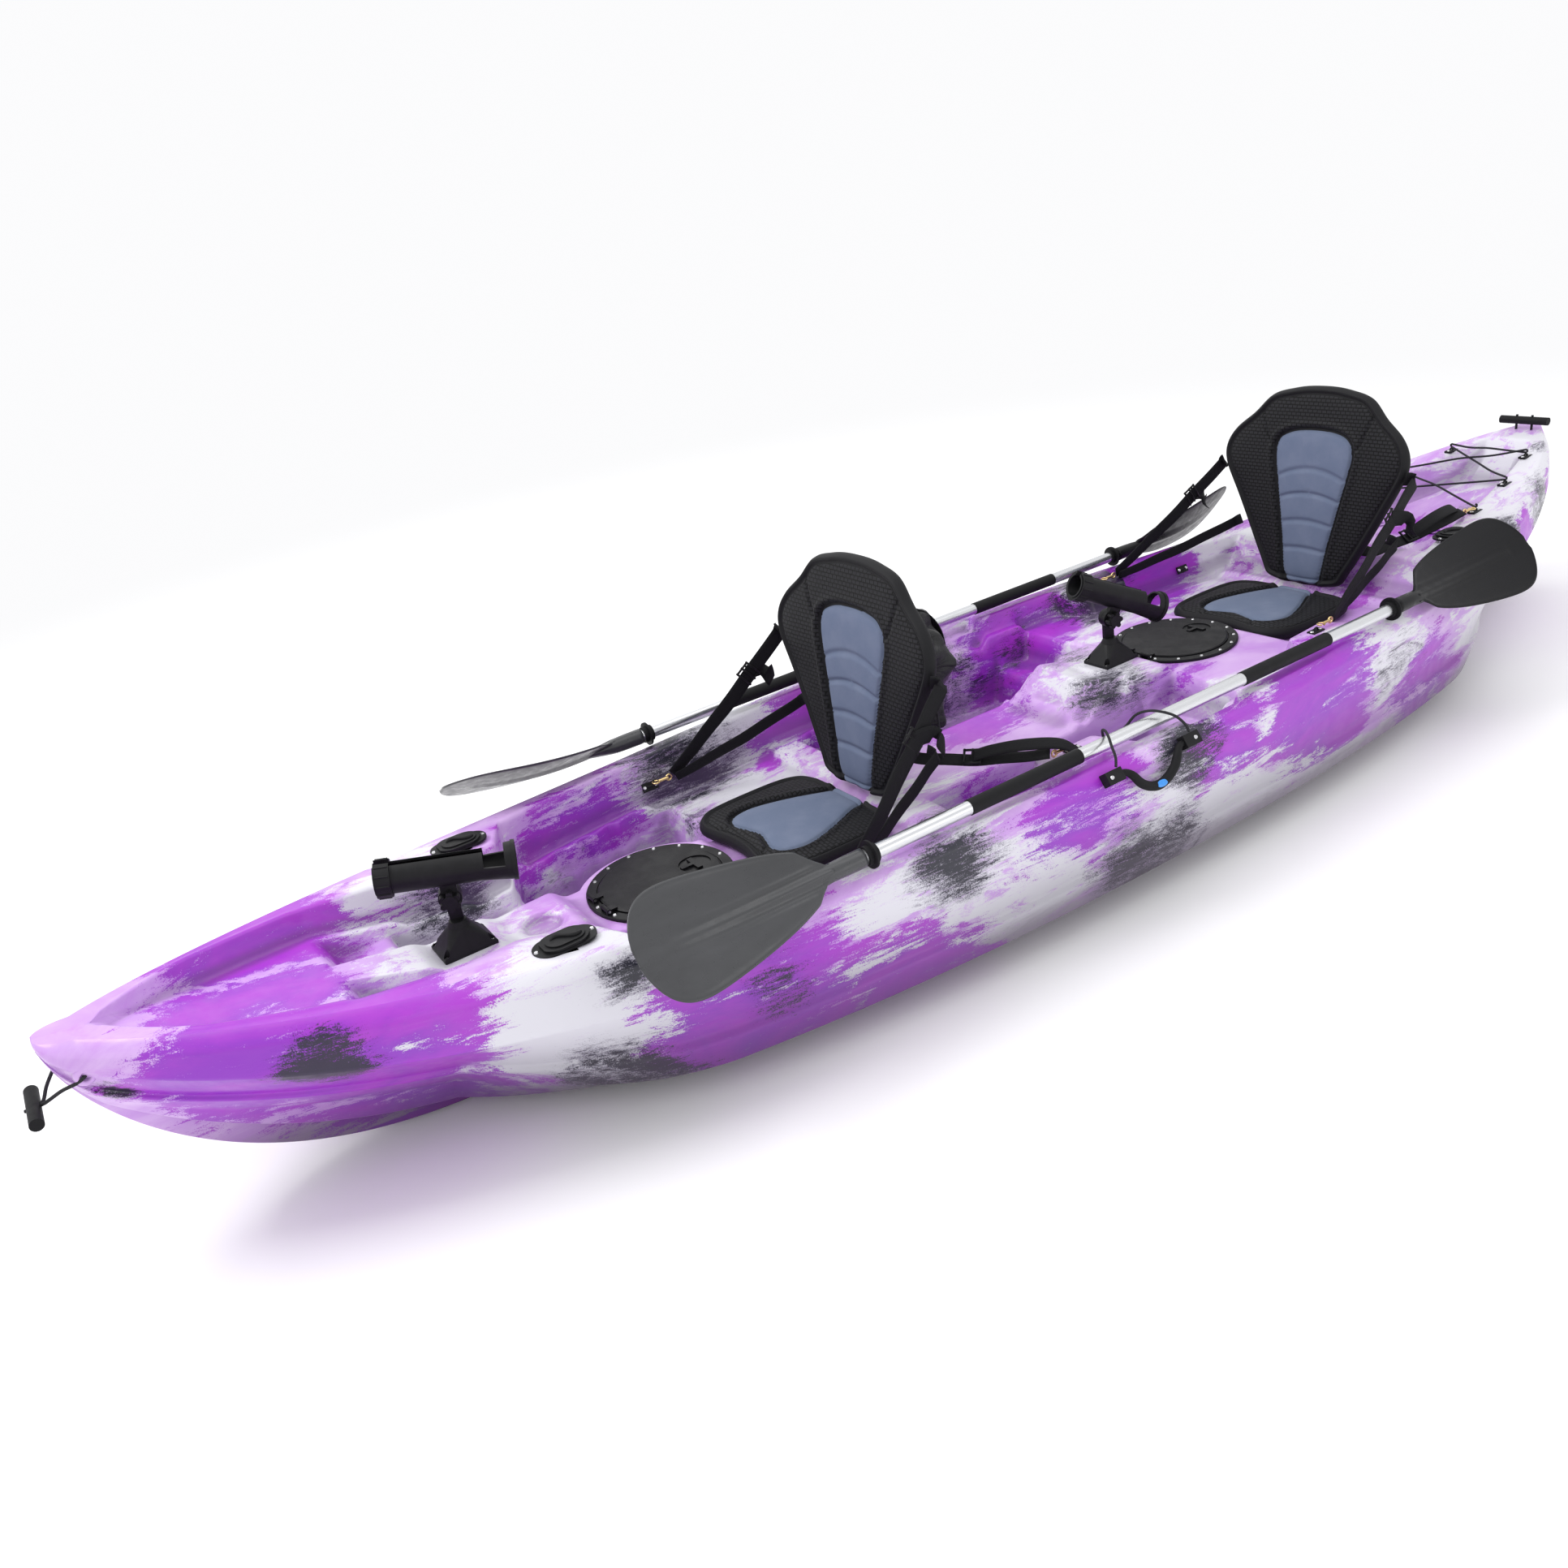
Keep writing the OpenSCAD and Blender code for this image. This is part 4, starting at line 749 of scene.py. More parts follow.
def build_scuppers(material):
    for i, (x, y, z) in enumerate(SCUPPERS):
        base = float(keel(float(y))) + 3
        rim = [(0.0205, z + 0.2), (0.0195, z + 2.2), (0.0175, z + 3.0), (0.0150, z + 2.0), (0.0140, z - 1),
               (0.0135, (z + base) / 2), (0.0140, base + 2), (0.0160, base - 3)]
        zone_small(lathe("scupper_%d" % (i + 1), [(r, h / 1000) for r, h in rim], (x / 1000, y / 1000, 0),
                         "kayak", material, 36, slot="hull_plastic"))


# ---- seats ------------------------------------------------------------------------------

# Where each seat's back hinges along the boat, its base height and its hinge height
SEATS = {"front": (-436.0, 203.0, 231.0), "rear": (887.0, 225.0, 253.0)}
BACK_LEAN = RAD(8)
BACK_OUTLINE = [(84, 0), (118, 40), (196, 190), (236, 268), (238, 312), (214, 352), (168, 388), (128, 430),
                (74, 444), (30, 450)]
BACK_GREY = [(0, 6), (44, 6), (58, 90), (76, 180), (94, 268), (99, 304), (90, 334), (54, 350), (0, 354)]
BASE_OUTLINE = [(0, -6), (70, -6), (118, -9), (154, -28), (170, -70), (172, -150), (168, -222), (150, -262),
                (112, -284), (70, -280), (34, -272), (0, -270)]
BASE_GREY = [(0, -8), (42, -8), (50, -40), (76, -92), (98, -150), (104, -188), (94, -222), (66, -234),
             (36, -226), (0, -216)]


def loop_of(half, n):
    """A smooth closed outline from the right half of one, both ends near the middle line."""
    p = np.array(half, float)
    pts = np.vstack([p, [r for r in p[::-1] * (-1, 1) if abs(r[0]) > 1e-6]])
    q = np.vstack([pts[-2:], pts, pts[:3]])
    out = []
    for i in range(2, len(q) - 3):
        for t in np.linspace(0, 1, 14, endpoint=False):
            a, b, c, d = q[i - 1], q[i], q[i + 1], q[i + 2]
            out.append(0.5 * (2 * b + (c - a) * t + (2 * a - 5 * b + 4 * c - d) * t * t
                              + (3 * b - a - 3 * c + d) * t ** 3) * 0.6
                       + 0.4 * ((1 - t) ** 3 * a + (3 * t ** 3 - 6 * t * t + 4) * b
                                 + (-3 * t ** 3 + 3 * t * t + 3 * t + 1) * c + t ** 3 * d) / 6)
    w = np.vstack([out, out[:1]])
    s = lengths(w)
    u = np.linspace(0, s[-1], n, endpoint=False)
    return np.stack([np.interp(u, s, w[:, 0]), np.interp(u, s, w[:, 1])], -1)


def inside_distance(p, loop):
    """Distance of points to a closed outline, positive inside."""
    a, b = loop, np.roll(loop, -1, axis=0)
    ab = b - a
    t = np.clip(((p[:, None] - a) * ab).sum(-1) / (ab ** 2).sum(-1), 0, 1)
    d = np.linalg.norm(p[:, None] - (a + ab * t[..., None]), axis=-1).min(1)
    up = (a[:, 1] > p[:, None, 1]) != (b[:, 1] > p[:, None, 1])
    cross = a[:, 0] + (p[:, None, 1] - a[:, 1]) * ab[:, 0] / np.where(ab[:, 1] == 0, 1e-9, ab[:, 1])
    return np.where((up & (p[:, None, 0] < cross)).sum(1) % 2 == 1, d, -d)


def segment_distance(p, a, b):
    """Distance of points to the line from a to b."""
    a, b = np.array(a, float), np.array(b, float)
    t = np.clip(((p - a) * (b - a)).sum(-1) / ((b - a) ** 2).sum(), 0, 1)
    return np.linalg.norm(p - (a + (b - a) * t[:, None]), axis=-1)


PAD_THICK = 22


def pad(name, half, grey_half, seams, grooves, centre, place, body, material, node, swell=6.0):
    """A foam pad: piped edge, woven panels parted by seams, and a grooved grey panel in the middle."""
    n, rings, thick = 300, 84, PAD_THICK
    loop = loop_of(half, n)
    grey = loop_of(grey_half, 160)
    t = np.linspace(0, 1, rings) ** 0.8
    p = centre + (loop[None] - centre) * t[:, None, None]
    flat = p.reshape(-1, 2)
    d = np.maximum(inside_distance(flat, loop), 0)
    g = inside_distance(flat, grey)
    edge = np.sqrt(1 - (1 - np.minimum(d / (thick / 2), 1)) ** 2) * thick / 2
    bead = 3.4 * np.exp(-((d - 8) / 4.5) ** 2) - 2.6 * np.exp(-((d - 17) / 2.2) ** 2)
    crown = swell * (1 - np.exp(-np.maximum(d - 17, 0) / 16.0))
    lines = np.zeros(len(flat))
    for a, b in seams:
        for s in (1, -1):
            q = segment_distance(flat, (a[0] * s, a[1]), (b[0] * s, b[1]))
            lines = np.maximum(lines, np.exp(-(q / 3.4) ** 2))
    rim = 1.7 * np.exp(-((g + 3.5) / 4.2) ** 2)
    lip = 3.0 * np.exp(-((g + 15) / 6.0) ** 2)
    inner = np.where(g > 0, 4.5 * (1 - np.exp(-np.maximum(g, 0) / 9.0)) - 3.0, 0)
    for base, sag in grooves:
        q = np.abs(flat[:, 1] - (base - sag * (flat[:, 0] / 70.0) ** 2))
        inner -= np.where(g > 0, 4.6 * np.exp(-(q / 5.0) ** 2) * unit(g / 5), 0)
    front = edge + unit(d / 8) * (bead + crown * (g < 0) + crown * 0.9 * (g >= 0))
    front = front - 4.2 * lines * unit((d - 14) / 6) * (g < -4) - 5.0 * rim + lip + inner
    back = -edge - unit(d / 8) * 1.5 * (1 - np.exp(-d / 30.0)) + 1.6 * np.exp(-((d - 15) / 2.0) ** 2)

    def both_faces(a, b):
        """Rows of the front from the middle out, then rows of the back from the edge in."""
        return np.concatenate([a, b[-2::-1]], 0)
    front, back, g, d = (a.reshape(rings, n) for a in (front, back, g, d))
    heights, plan = both_faces(front, back), both_faces(p, p)
    v = place(plan[..., 0], plan[..., 1], heights)
    o = make(name, v.reshape(-1, 3) / 1000, quads(len(v), n), body, material, [node], "seat_fabric")
    grey_in = both_faces(g, np.full_like(g, -20))
    woven = both_faces(np.minimum(d - 19, -g - 7), np.full_like(g, -5))
    attribute(o, "grey", grey_in.reshape(-1) / 1000)
    attribute(o, "woven", woven.reshape(-1) / 1000)
    attribute(o, "run", np.stack([plan[..., 0], plan[..., 1], heights * 0], -1).reshape(-1, 3) / 1000)


def lean(x, y, z, sy, sz):
    """From a seat back's own frame to the boat's, leaning back on its hinge line."""
    c, s = math.cos(BACK_LEAN), math.sin(BACK_LEAN)
    return np.stack([x, sy + y * c + z * s, sz + z * c - y * s], -1)


def back_place(sy, sz):
    def place(x, z, h):
        z = z + 2
        return lean(x, 15 - h - 14 * (x / 236) ** 2 * unit((z - 60) / 200), z, sy, sz)
    return place


def base_place(sy, sz):
    def place(x, y, h):
        return np.stack([x, sy + y, sz + 12 + h + 2 * unit((-y - 200) / 80)], -1)
    return place


def build_seat(label, sy, base_z, hinge_z, material):
    pad(label + "_back_pad", BACK_OUTLINE, BACK_GREY, [((150, 410), (122, 336)), ((122, 336), (112, 318))],
        [(86, 8), (150, 10), (212, 12), (268, 14)], np.array([0.0, 215.0]), back_place(sy, hinge_z),
        label + "_back", material, label + "_seat_back")
    pad(label + "_base_pad", BASE_OUTLINE, BASE_GREY, [((60, -245), (96, -283))], [], np.array([0.0, -130.0]),
        base_place(sy, base_z), "kayak", material, label + "_seat_base", swell=4.0)


# ---- straps, cords and ropes ---------------------------------------------------------------

# Snap hooks on the port side as (x, y, z) and the way their strap leaves along the boat:
# fore and aft of the front seat, then of the rear one
HOOKS = [(306, -704, 256, 1), (319, -181, 316, -1), (300, 557, 316, 1), (174, 1289, 353, -1)]
HOOK_LEN, BAR_R, BAR_SIDES = 40, 0.0024, 8


def strap_end(h):
    return np.array([h[0], h[1] + h[3] * HOOK_LEN, h[2] + 4], float)


def arc(a, b, sag):
    """Points from a to b that hang down between them."""
    a, b = np.array(a, float), np.array(b, float)
    t = np.linspace(0, 1, 9)[:, None]
    return a + (b - a) * t - np.array([0, 0, 1.0]) * sag * 4 * t * (1 - t)


def buckle(name, at, along, width, material, wide):
    """A ladder lock: a frame of four rounded bars with a bar across it."""
    along = Vector(along).normalized()
    w = Vector(width).normalized()
    up = along.cross(w).normalized()
    m = Matrix((w, along, up)).transposed().to_4x4()
    m.translation = Vector(at)
    bars = [((-wide / 2 - 0.002, -0.015, 0), (-wide / 2 - 0.002, 0.015, 0)),
            ((wide / 2 + 0.002, -0.015, 0), (wide / 2 + 0.002, 0.015, 0))]
    bars += [((-wide / 2 - 0.003, y, 0.001), (wide / 2 + 0.003, y, 0.001)) for y in (-0.015, 0, 0.015)]
    verts, faces = [], []
    for a, b in bars:
        a, b = np.array(a), np.array(b)
        d = (b - a) / np.linalg.norm(b - a)
        u = np.array((0, 0, 1.0))
        s = np.cross(d, u)
        start = len(verts)
        for end in (a - d * 0.002, b + d * 0.002):
            for k in range(BAR_SIDES):
                c = 2 * math.pi * k / BAR_SIDES
                verts.append(tuple(end + BAR_R * (math.cos(c) * u + math.sin(c) * s)))
        rim = [tuple(start + BAR_SIDES * e + k for k in range(BAR_SIDES)) for e in (0, 1)]
        faces += [tuple(start + q for q in f) for f in quads(2, BAR_SIDES)] + [rim[0][::-1], rim[1]]
    verts = [tuple(m @ Vector(v)) for v in verts]
    return make(name, verts, faces, None, material, slot="black_plastic")


def mirrored(points, s):
    p = np.array(points, float)
    p[..., 0] *= s
    return p


def build_straps(label, sy, hinge, fore, aft, material, plastic):
    """Shoulder and waist webbing to the forward hook, rear webbing to the aft one, with their loose tails."""
    for s, side in SIDES:
        f, a = strap_end(fore), strap_end(aft)
        runs = [("shoulder", [(238, 30, 268), (252, 44, 262)], f, 0.032, 6),
                ("waist", [(196, 40, 128), (216, 46, 118)], f + (-5, 4, -7), 0.024, 4),
                ("rear", [(120, 44, 92), (146, 62, 86)], a, 0.026, 7)]
        for kind, root, end, width, sag in runs:
            root = np.array(root) + (0, sy, hinge)
            path = mirrored(np.vstack([root[:1], arc(root[1], end, sag)]), s) / 1000
            d = path[-1] - path[1]
            across = np.cross(d, (s, 0, 0)) if kind != "rear" else np.cross(d, (s * 0.6, 0, 0.8))
            across /= np.linalg.norm(across)
            name = "%s_%s_%s" % (label, side, kind)
            o = ribbon(name + "_strap", path, width, None, material,
                       [across, across, across * 0.9 + np.array([0.3 * s, 0, 0.1])], wave=0.0015,
                       replaces=[label + "_seat_straps"], slot="webbing")
            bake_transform(o)
            if kind == "waist":
                continue
            at = path[1] + d * (0.30 if kind == "shoulder" else 0.40)
            b = buckle(name + "_buckle", at, d, across, plastic, width)
            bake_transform(b)
            u = d / np.linalg.norm(d)
            if kind == "shoulder":
                shifts = [(0, 0, 0, 0), (-0.02, 0.004, 0, -0.010), (-0.05, 0.012, 0.004, -0.035),
                          (-0.06, 0.016, 0.01, -0.075)]
            else:
                shifts = [(0, 0, 0, 0), (0.03, 0.006, 0, 0.012), (0.09, 0.004, 0, 0.020),
                          (0.16, -0.014, 0.01, 0.010), (0.20, -0.03, 0.02, -0.02)]
            tail = [at + u * along + (out * s, aft_by, rise) for along, out, aft_by, rise in shifts]
            t = ribbon(name + "_tail", tail, width, None, material,
                       [across, across, across + np.array([0.2, 0.1, 0.1]) * s], slot="webbing")
            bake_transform(t)


BAG_DEPTH, BAG_MID_Z, WRINKLES, WRINKLE_GAIN = 130, 238, 16, 6.5
WEB_TOP = [(40, 352), (80, 354), (120, 340), (152, 306), (166, 262), (168, 222)]


def build_bag(material, web, white):
    """The sack on the front seat's back: a soft box, folded by a seeded set of ridges."""
    sy, _, sz = SEATS["front"]
    n, rows = 120, 60
    th = np.linspace(0, 2 * np.pi, n, endpoint=False)
    k = np.linspace(0, 1, rows)[:, None]
    w = lerp(118, 140, np.clip(k * 6, 0, 1)) * np.sqrt(np.maximum(0, 1 - unit((k - 0.3) / 0.7) ** 3.2))
    h = lerp(100, 112, np.clip(k * 6, 0, 1)) * np.sqrt(np.maximum(0, 1 - unit((k - 0.35) / 0.65) ** 3.0))
    squareness = 0.55
    x = w * (np.sign(np.cos(th)) * np.abs(np.cos(th)) ** squareness)
    z = h * (np.sign(np.sin(th)) * np.abs(np.sin(th)) ** squareness)
    y = 31 + BAG_DEPTH * k + 0 * x
    rng = np.random.default_rng(5)
    wrinkle = np.zeros_like(x)
    for _ in range(WRINKLES):
        d = rng.normal(size=3)
        d /= np.linalg.norm(d)
        f = rng.uniform(0.018, 0.055)
        turn = f * (d[0] * x * 1.3 + d[1] * y * 0.8 + d[2] * z * 1.8) + rng.uniform(0, 6)
        wrinkle += np.sqrt(0.06 + np.sin(turn) ** 2) / (0.6 + 14 * f)
    wrinkle = (wrinkle - wrinkle.mean()) * WRINKLE_GAIN * np.clip(k * 8, 0, 1)
    scale = 1 + wrinkle / 105
    x, z = x * scale, z * scale - 6 * np.sin(np.pi * k) - 10 * unit((-z - 20) / 80) * k
    y = y + wrinkle * 0.5 * (k > 0.5)
    v = lean(x, y, z + BAG_MID_Z, sy, sz) / 1000
    bag = make("seat_bag", v.reshape(-1, 3), quads(rows, n) + [tuple(range(n))[::-1]], "front_back", material,
               ["front_seat_bag"], "seat_fabric")
    for i, px in enumerate((-62, 62)):
        ribbon("bag_webbing_%d" % (i + 1), [lean(px, py, pz, sy, sz) / 1000 for py, pz in WEB_TOP], 0.022,
               "front_back", web, [(1, 0, 0), (1, 0, 0)], slot="webbing")
    loop = [(132, 44, 234), (146, 42, 240), (158, 46, 236), (163, 56, 226), (158, 66, 214)]
    tube("bag_cord_end", [lean(*q, sy, sz) / 1000 for q in loop], 0.0030, "front_back", white, step=0.002,
         slot="seat_fabric")


# The bag's drawcord, the handles' axis and brackets, and the pad eyes the bungee runs through
DRAWCORD = [(150, -366, 446), (157, -362, 451), (165, -357, 450), (171, -353, 440), (174, -350, 418),
            (174, -348, 386), (173, -347, 350), (174, -347, 306)]
AXIS_X, AXIS_Z, BRACKET_Y = 429, 291, (-176, 8)
EYES = [(172, 1305), (143, 1475), (98, 1640)]
LACING = [(1, 0), (-1, 1), (1, 2), (-1, 2), (1, 1), (-1, 0)]
CORD_MM = 3.4


def eye(side, i):
    x, y = EYES[i]
    return np.array([side * x, y, float(sheer(float(y))) + 15])


def build_cords(material):
    """The laced bungee, and the two halves of the bow toggle's rope."""
    cross = (1, 1, 0, -1, -1, 0)
    path = []
    for i, l in enumerate(LACING):
        e, up = eye(*l), np.array([0, 0, CORD_MM])
        path += [e + up, e + (l[0] * 3, 1.5, 1.7), e + (l[0] * 3, 1.5, -1.7), e - up]
        if i < len(LACING) - 1:
            after = eye(*LACING[i + 1])
            m = (e + after) / 2 + (0, 0, cross[i] * CORD_MM)
            path += [lerp(e, m, 0.5) + (0, 0, -2), m, lerp(m, after, 0.5) + (0, 0, -2)]
    tube("deck_bungee", np.array(path) / 1000, 0.0025, "kayak", material, 0.008, 10,
         replaces=["stern_bungee"], slot="cord")
    by, bz, ty, tz = -1868, 294, HOLE_Y, HOLE_Z
    for s, side in SIDES:
        rope = [(0, by - 12, bz), (0, by, bz), (4 * s, by + 13, bz + 2), (22 * s, by + 24, bz + 14),
                (42 * s, by + 44, bz + 30), (56 * s, ty - 14, tz - 5), (60 * s, ty - 3, tz + 1),
                (52 * s, ty, tz), (30 * s, ty, tz)]
        o = tube("bow_rope_" + side, np.array(rope, float) / 1000, 0.0027, None, material, 0.004, 10,
                 replaces=["bow_toggle_rope"], slot="cord")
        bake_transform(o)


PARK_ARCH = [(432, 0, 310), (428, 0.4, 326), (414, 1, 341), (398, 2, 350), (381, 3, 353), (364, 4, 346),
             (355, 5, 328), (346, 6, 311)]


def build_park(material, s, side):
    """Cords from the handle brackets over the parked paddle."""
    for e, (y, dy) in enumerate(((BRACKET_Y[0], 10), (BRACKET_Y[1], -15))):
        route = [(x, y + share * dy, z) for x, share, z in PARK_ARCH]
        tube("%s_park_cord_%d" % (side, e + 1), mirrored(route, s) / 1000, 0.0025, "kayak", material, 0.004,
             10, replaces=["paddle_park_cords"], slot="cord")


def build_grip(rubber, inlay, s, side):
    """A side handle's rubber cover, thicker in the middle, with an oval inlay on its outer face."""
    span = BRACKET_Y[1] - BRACKET_Y[0]
    route = [(0, -6, 0), (0, 10, 0), (0.5, 20, 0), (3, 29, -4), (8, 37, -12), (12, 50, -29), (14, 70, -42),
             (15, span / 2, -47)]
    route += [(x, span - y, z) for x, y, z in route[-2::-1]]
    p = mirrored(np.array(route) + (AXIS_X, BRACKET_Y[0], AXIS_Z), s) / 1000
    r = [0.005, 0.005, 0.0062, 0.0078, 0.0084, 0.0086, 0.0088, 0.0092]
    tube(side + "_grip_cover", p, r + r[-2::-1], side + "_handle", rubber, 0.0025, 20,
         replaces=[side + "_handle_grip"], slot="grip_rubber")
    at = p[len(p) // 2] + np.array([0.0080 * s * 0.82, 0, 0.0080 * 0.57])
    n = Vector((0.82 * s, 0, 0.57)).normalized()
    u = Vector((0, 1, 0))
    w = n.cross(u)
    sides, steps = 40, ((1.0, -0.0012), (1.0, 0.0006), (0.86, 0.0013), (0.45, 0.0017))
    verts = []
    for rr, hh in steps:
        for k in range(sides):
            c = 2 * math.pi * k / sides
            verts.append(tuple(Vector(at) + u * (0.013 * rr * math.cos(c)) + w * (0.0062 * rr * math.sin(c))
                               + n * hh))
    lid = tuple(range((len(steps) - 1) * sides, len(steps) * sides))
    make(side + "_grip_inlay", verts, quads(len(steps), sides) + [lid], side + "_handle", inlay,
         slot="grip_rubber")


# ---- paddle blades ----------------------------------------------------------------------------

PADDLE_X, PADDLE_Z, BLADE_FROM, BLADE_LEN, BLADE_ROLL = 381.0, 329.5, 744.0, 356.0, -50.0
FAR_BLADE_ROLL, NECK_HALF = -30.0, 14


def blade_edge(s, k):
    """Width of a blade on one side (k is 1 or -1) at a share s of its length."""
    a = 180 * s ** (0.80 + 0.14 * k) * 0.5 + 90 * s ** 6
    return 91 * np.maximum(0, np.sin(np.radians(a))) ** 0.55 * np.where(s < 0.03, 0.30, 1)


def blade_point(local, s, e):
    """From a blade's own frame to the boat's, in millimetres."""
    roll = FAR_BLADE_ROLL if s < 0 and e < 0 else BLADE_ROLL
    c, n = math.cos(RAD(-roll)), math.sin(RAD(-roll))
    x = local[..., 0] * c + local[..., 2] * n
    z = -local[..., 0] * n + local[..., 2] * c
    return np.stack([s * (x + PADDLE_X), local[..., 1] * e, z + PADDLE_Z], -1)


def build_blade(material, s, side, e, end):
    """A dished blade with a spine, and the neck that joins it to the shaft."""
    ns, nx = 90, 26
    st = np.linspace(0, 0.995, ns + 1) ** 0.9
    st[-1] = 0.995
    u = np.linspace(-1, 1, 2 * nx + 1)
    u = np.sign(u) * np.abs(u) ** 0.9
    left, right = (np.maximum(NECK_HALF, blade_edge(st, k))[:, None] for k in (-1, 1))
    edge = np.where(u[None] < 0, left, right)
    neck = np.maximum(NECK_HALF, edge * unit(st[:, None] / 0.12 * 0.6 + 0.4))
    edge = np.where(st[:, None] < 0.12, neck, edge)
    x = u[None] * edge
    along = BLADE_FROM + st[:, None] * BLADE_LEN + 0 * x
    dish = 34 * st[:, None] ** 2.2 - 10 * np.sin(np.pi * st[:, None]) * (1 - (x / 95) ** 2) + 6
    fade = np.sqrt(np.maximum(0, 1 - st[:, None] / 0.86))
    under = 7 * np.maximum(0, 1 - np.abs(x) / 20) * fade
    over = 8.0 * np.exp(-(x / 8) ** 2) * fade + 2.2 * np.exp(-((np.abs(x) - 19) / 4.0) ** 2) * fade
    thin = np.minimum(1, 0.35 + 0.65 * unit((1 - np.abs(u[None])) / 0.06)) * 1.6
    lip = 1.0 * np.exp(-((1 - np.abs(u[None])) * edge / 5.0 - 0.6) ** 2)
    top = np.stack([x, along, dish + thin + over + lip], -1)
    low = np.stack([x, along, dish - thin - under], -1)
    ring = np.concatenate([top, low[:, ::-1]], 1)
    v = blade_point(ring, s, e) / 1000
    rows, n = ring.shape[:2]
    f = quads(rows, n) + [tuple(range(n))[::-1], tuple((rows - 1) * n + i for i in range(n))]
    name = "%s_%s" % (side, end)
    make(name + "_blade_face", v.reshape(-1, 3), f, name + "_half", material, [name + "_blade"],
         "blade_plastic")
    prof = [(14.6, 682), (16.0, 682.6), (16.2, 690), (16.0, 720), (15.2, 744), (14.6, 756), (12.5, 775),
            (9.5, 792), (5.0, 812), (2.0, 826)]
    t = np.linspace(0, 2 * np.pi, 36, endpoint=False)
    pr = np.array(prof)
    flat = np.interp(pr[:, 1], [744, 790, 826], [1, 0.62, 0.25])
    drop = np.interp(pr[:, 1], [744, 826], [0, -3])
    w = np.stack([pr[:, None, 0] * np.cos(t) * (2 - flat[:, None]), np.repeat(pr[:, 1:2], 36, 1),
                  pr[:, None, 0] * np.sin(t) * flat[:, None] + drop[:, None]], -1)
    make(name + "_blade_neck", (blade_point(w, s, e) / 1000).reshape(-1, 3), quads(len(prof), 36),
         name + "_half", material, slot="blade_plastic")


# ---- dressing of the CAD nodes and small mouldings -------------------------------------------------


def dress(names, material, width, angle=35, segments=2):
    """Gives CAD nodes a material and softens their edges; a width of 0 leaves the edges alone."""
    for n in names:
        o = NODES[n]
        o.data.materials.clear()
        o.data.materials.append(material)
        if width:
            m = o.modifiers.new("edge", "BEVEL")
            m.width, m.segments = width, segments
            m.limit_method, m.angle_limit = "ANGLE", RAD(angle)
            m.harden_normals = False
            o.modifiers.new("normals", "WEIGHTED_NORMAL").keep_sharp = False


def build_cap_ridge(name, x, y, body, material):
    """The S-shaped raised pull on a rod tube's cap."""
    z = float(sheer(float(y))) + 11.6
    t = np.linspace(-1, 1, 40)
    path = np.stack([x + 9 * np.sin(t * 2.6), y + 4 + 24 * t, z + 0 * t + 1.2 * (1 - t * t)], -1) / 1000
    r = 0.0042 * np.sqrt(np.maximum(0.05, 1 - t ** 6))
    tube(name, path, r, body, material, 0.002, 14, slot="black_plastic")


FLOOR_HALF, FADE_FROM, FADE_TO = 90, 2.6, 5.5


def build_floor():
    """A pale floor that fades into the world's colour away from the boat."""
    me = bpy.data.meshes.new("floor")
    me.from_pydata([(x * FLOOR_HALF, y * FLOOR_HALF, 0) for x, y in ((-1, -1), (1, -1), (1, 1), (-1, 1))], [],
                   [(0, 1, 2, 3)])
    o = link(bpy.data.objects.new("floor", me))
    m = Mat("pale_floor", rough=0.9, spec=0.1)
    m.colour(m.mix(m.noise(m.where(), 3, 2), (0.93, 0.93, 0.935), (0.95, 0.95, 0.955)))
    away = m.node("ShaderNodeVectorMath", 1, {"operation": "LENGTH"}, _0=m.where())
    glow = m.node("ShaderNodeEmission", Color=WORLD, Strength=1.0)
    both = m.node("ShaderNodeMixShader", _0=m.span(away, FADE_FROM, FADE_TO), _1=m.bsdf.outputs[0], _2=glow)
    m.put(m.t.nodes["Material Output"], "Surface", both)
    me.materials.append(m.m)


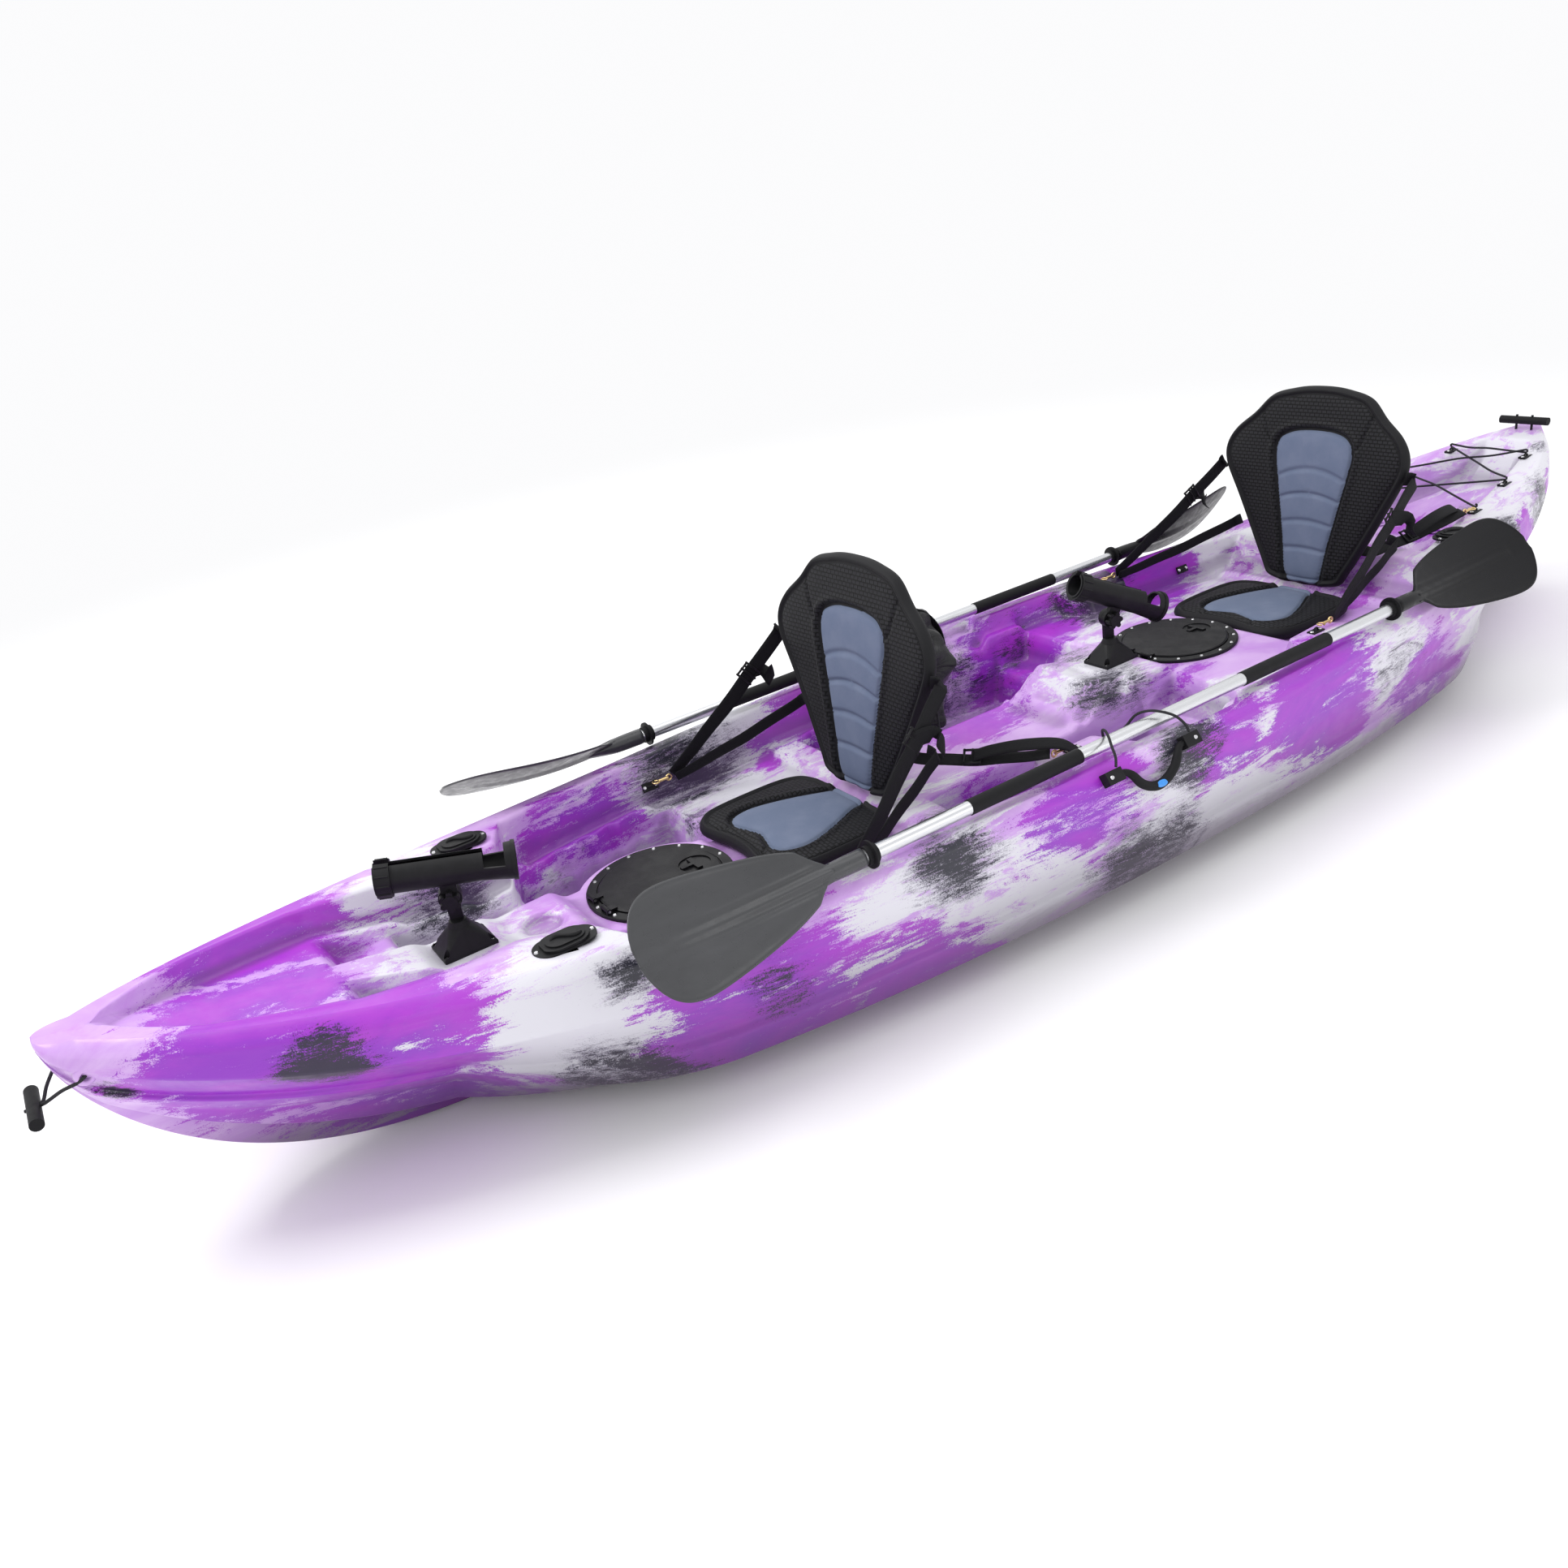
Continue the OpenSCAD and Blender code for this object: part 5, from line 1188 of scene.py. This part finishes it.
def main():
    set_camera()
    set_studio()
    build_floor()
    black = moulded_black("black_moulding")
    soft = moulded_black("black_rubber", (0.006, 0.006, 0.007), 0.62, 1400, 0.35)
    satin = moulded_black("hatch_plastic", (0.006, 0.006, 0.007), 0.44, 520, 0.45)
    steel = metal("steel", (0.72, 0.72, 0.74), 0.24)
    alu = metal("brushed_tube", (0.76, 0.77, 0.79), 0.27, (900, 14, 900))
    brass = metal("brass_plate", (0.80, 0.60, 0.28), 0.24)
    web, braid, nylon = webbing_material(), cord_material(), nylon_material()
    seat = seat_material()
    white = Mat("white_cord", rough=0.7)
    white.colour(white.mix(white.noise(white.where(), 900), (0.6, 0.6, 0.6), (0.8, 0.8, 0.8)))
    inlay = oval_material()
    # Painted light: front and rear blades are one plastic, given as a lit grey copy with a painted reflection
    # and a shaded black copy.
    front_blade = blade_material("blade_lit_grey", (0.032, 0.033, 0.036), 0.5)
    rear_blade = blade_material("blade_shaded_black", (0.004, 0.004, 0.005), 0.2)
    build_cords(braid)
    for s, side in SIDES:
        build_park(braid, s, side)
    hang = spline(np.array(DRAWCORD) / 1000, 0.003)
    drawcord = tube("bag_drawcord", hang, 0.002, "front_back", braid, 0.004, 10,
                    replaces=["front_bag_cord"], slot="cord")
    skin = hull_material()
    build_hull(skin)
    build_scuppers(skin)
    build_nose_lips(skin)
    for label, (sy, base_z, hinge) in SEATS.items():
        build_seat(label, sy, base_z, hinge, seat)
        fore, aft = (HOOKS[0], HOOKS[1]) if label == "front" else (HOOKS[2], HOOKS[3])
        build_straps(label, sy, hinge, fore, aft, web, black)
    build_bag(nylon, web, white.m)
    for s, side in SIDES:
        build_grip(soft, inlay, s, side)
        build_blade(front_blade, s, side, -1, "front")
        build_blade(rear_blade, s, side, 1, "rear")
        for end, (x, y) in (("bow", FLUSH[0]), ("stern", FLUSH[2])):
            cap = "%s_%s_cap" % (side, end)
            build_cap_ridge(cap + "_ridge", x * s, y, cap + "_body", black)
    dress(["hatch_rings"] + [e + "_hatch_" + p for e in ENDS for p in ("lid", "latch")], satin, 0.0007)
    dress(["hatch_seals"], soft, 0.0006)
    dress(["hatch_screws", "deck_screws", "hatch_hinge_pins"], steel, 0.0003)
    dress(["rod_holder_bases"] + [e + "_rod_" + p for e in ENDS for p in ("post", "tube", "collar", "knob")],
          black, 0.0010)
    dress([side + end for _, side in SIDES for end in ("_bow_cap", "_stern_cap")]
          + ["flush_rod_tubes", "pad_eyes", "handle_brackets", "drain_plug"], black, 0.0012, 30, 3)
    dress(["snap_hooks"], brass, 0)
    halves = [side + "_" + e for _, side in SIDES for e in ENDS]
    dress([half + "_shaft" for half in halves], alu, 0.0003)
    dress([half + p for half in halves for p in ("_grip", "_ring")], soft, 0.0005)
    dress(["bow_toggle", "stern_toggle"], soft, 0.0022, 35, 3)
    dress(["stern_toggle_rope"], braid, 0.0004)


main()
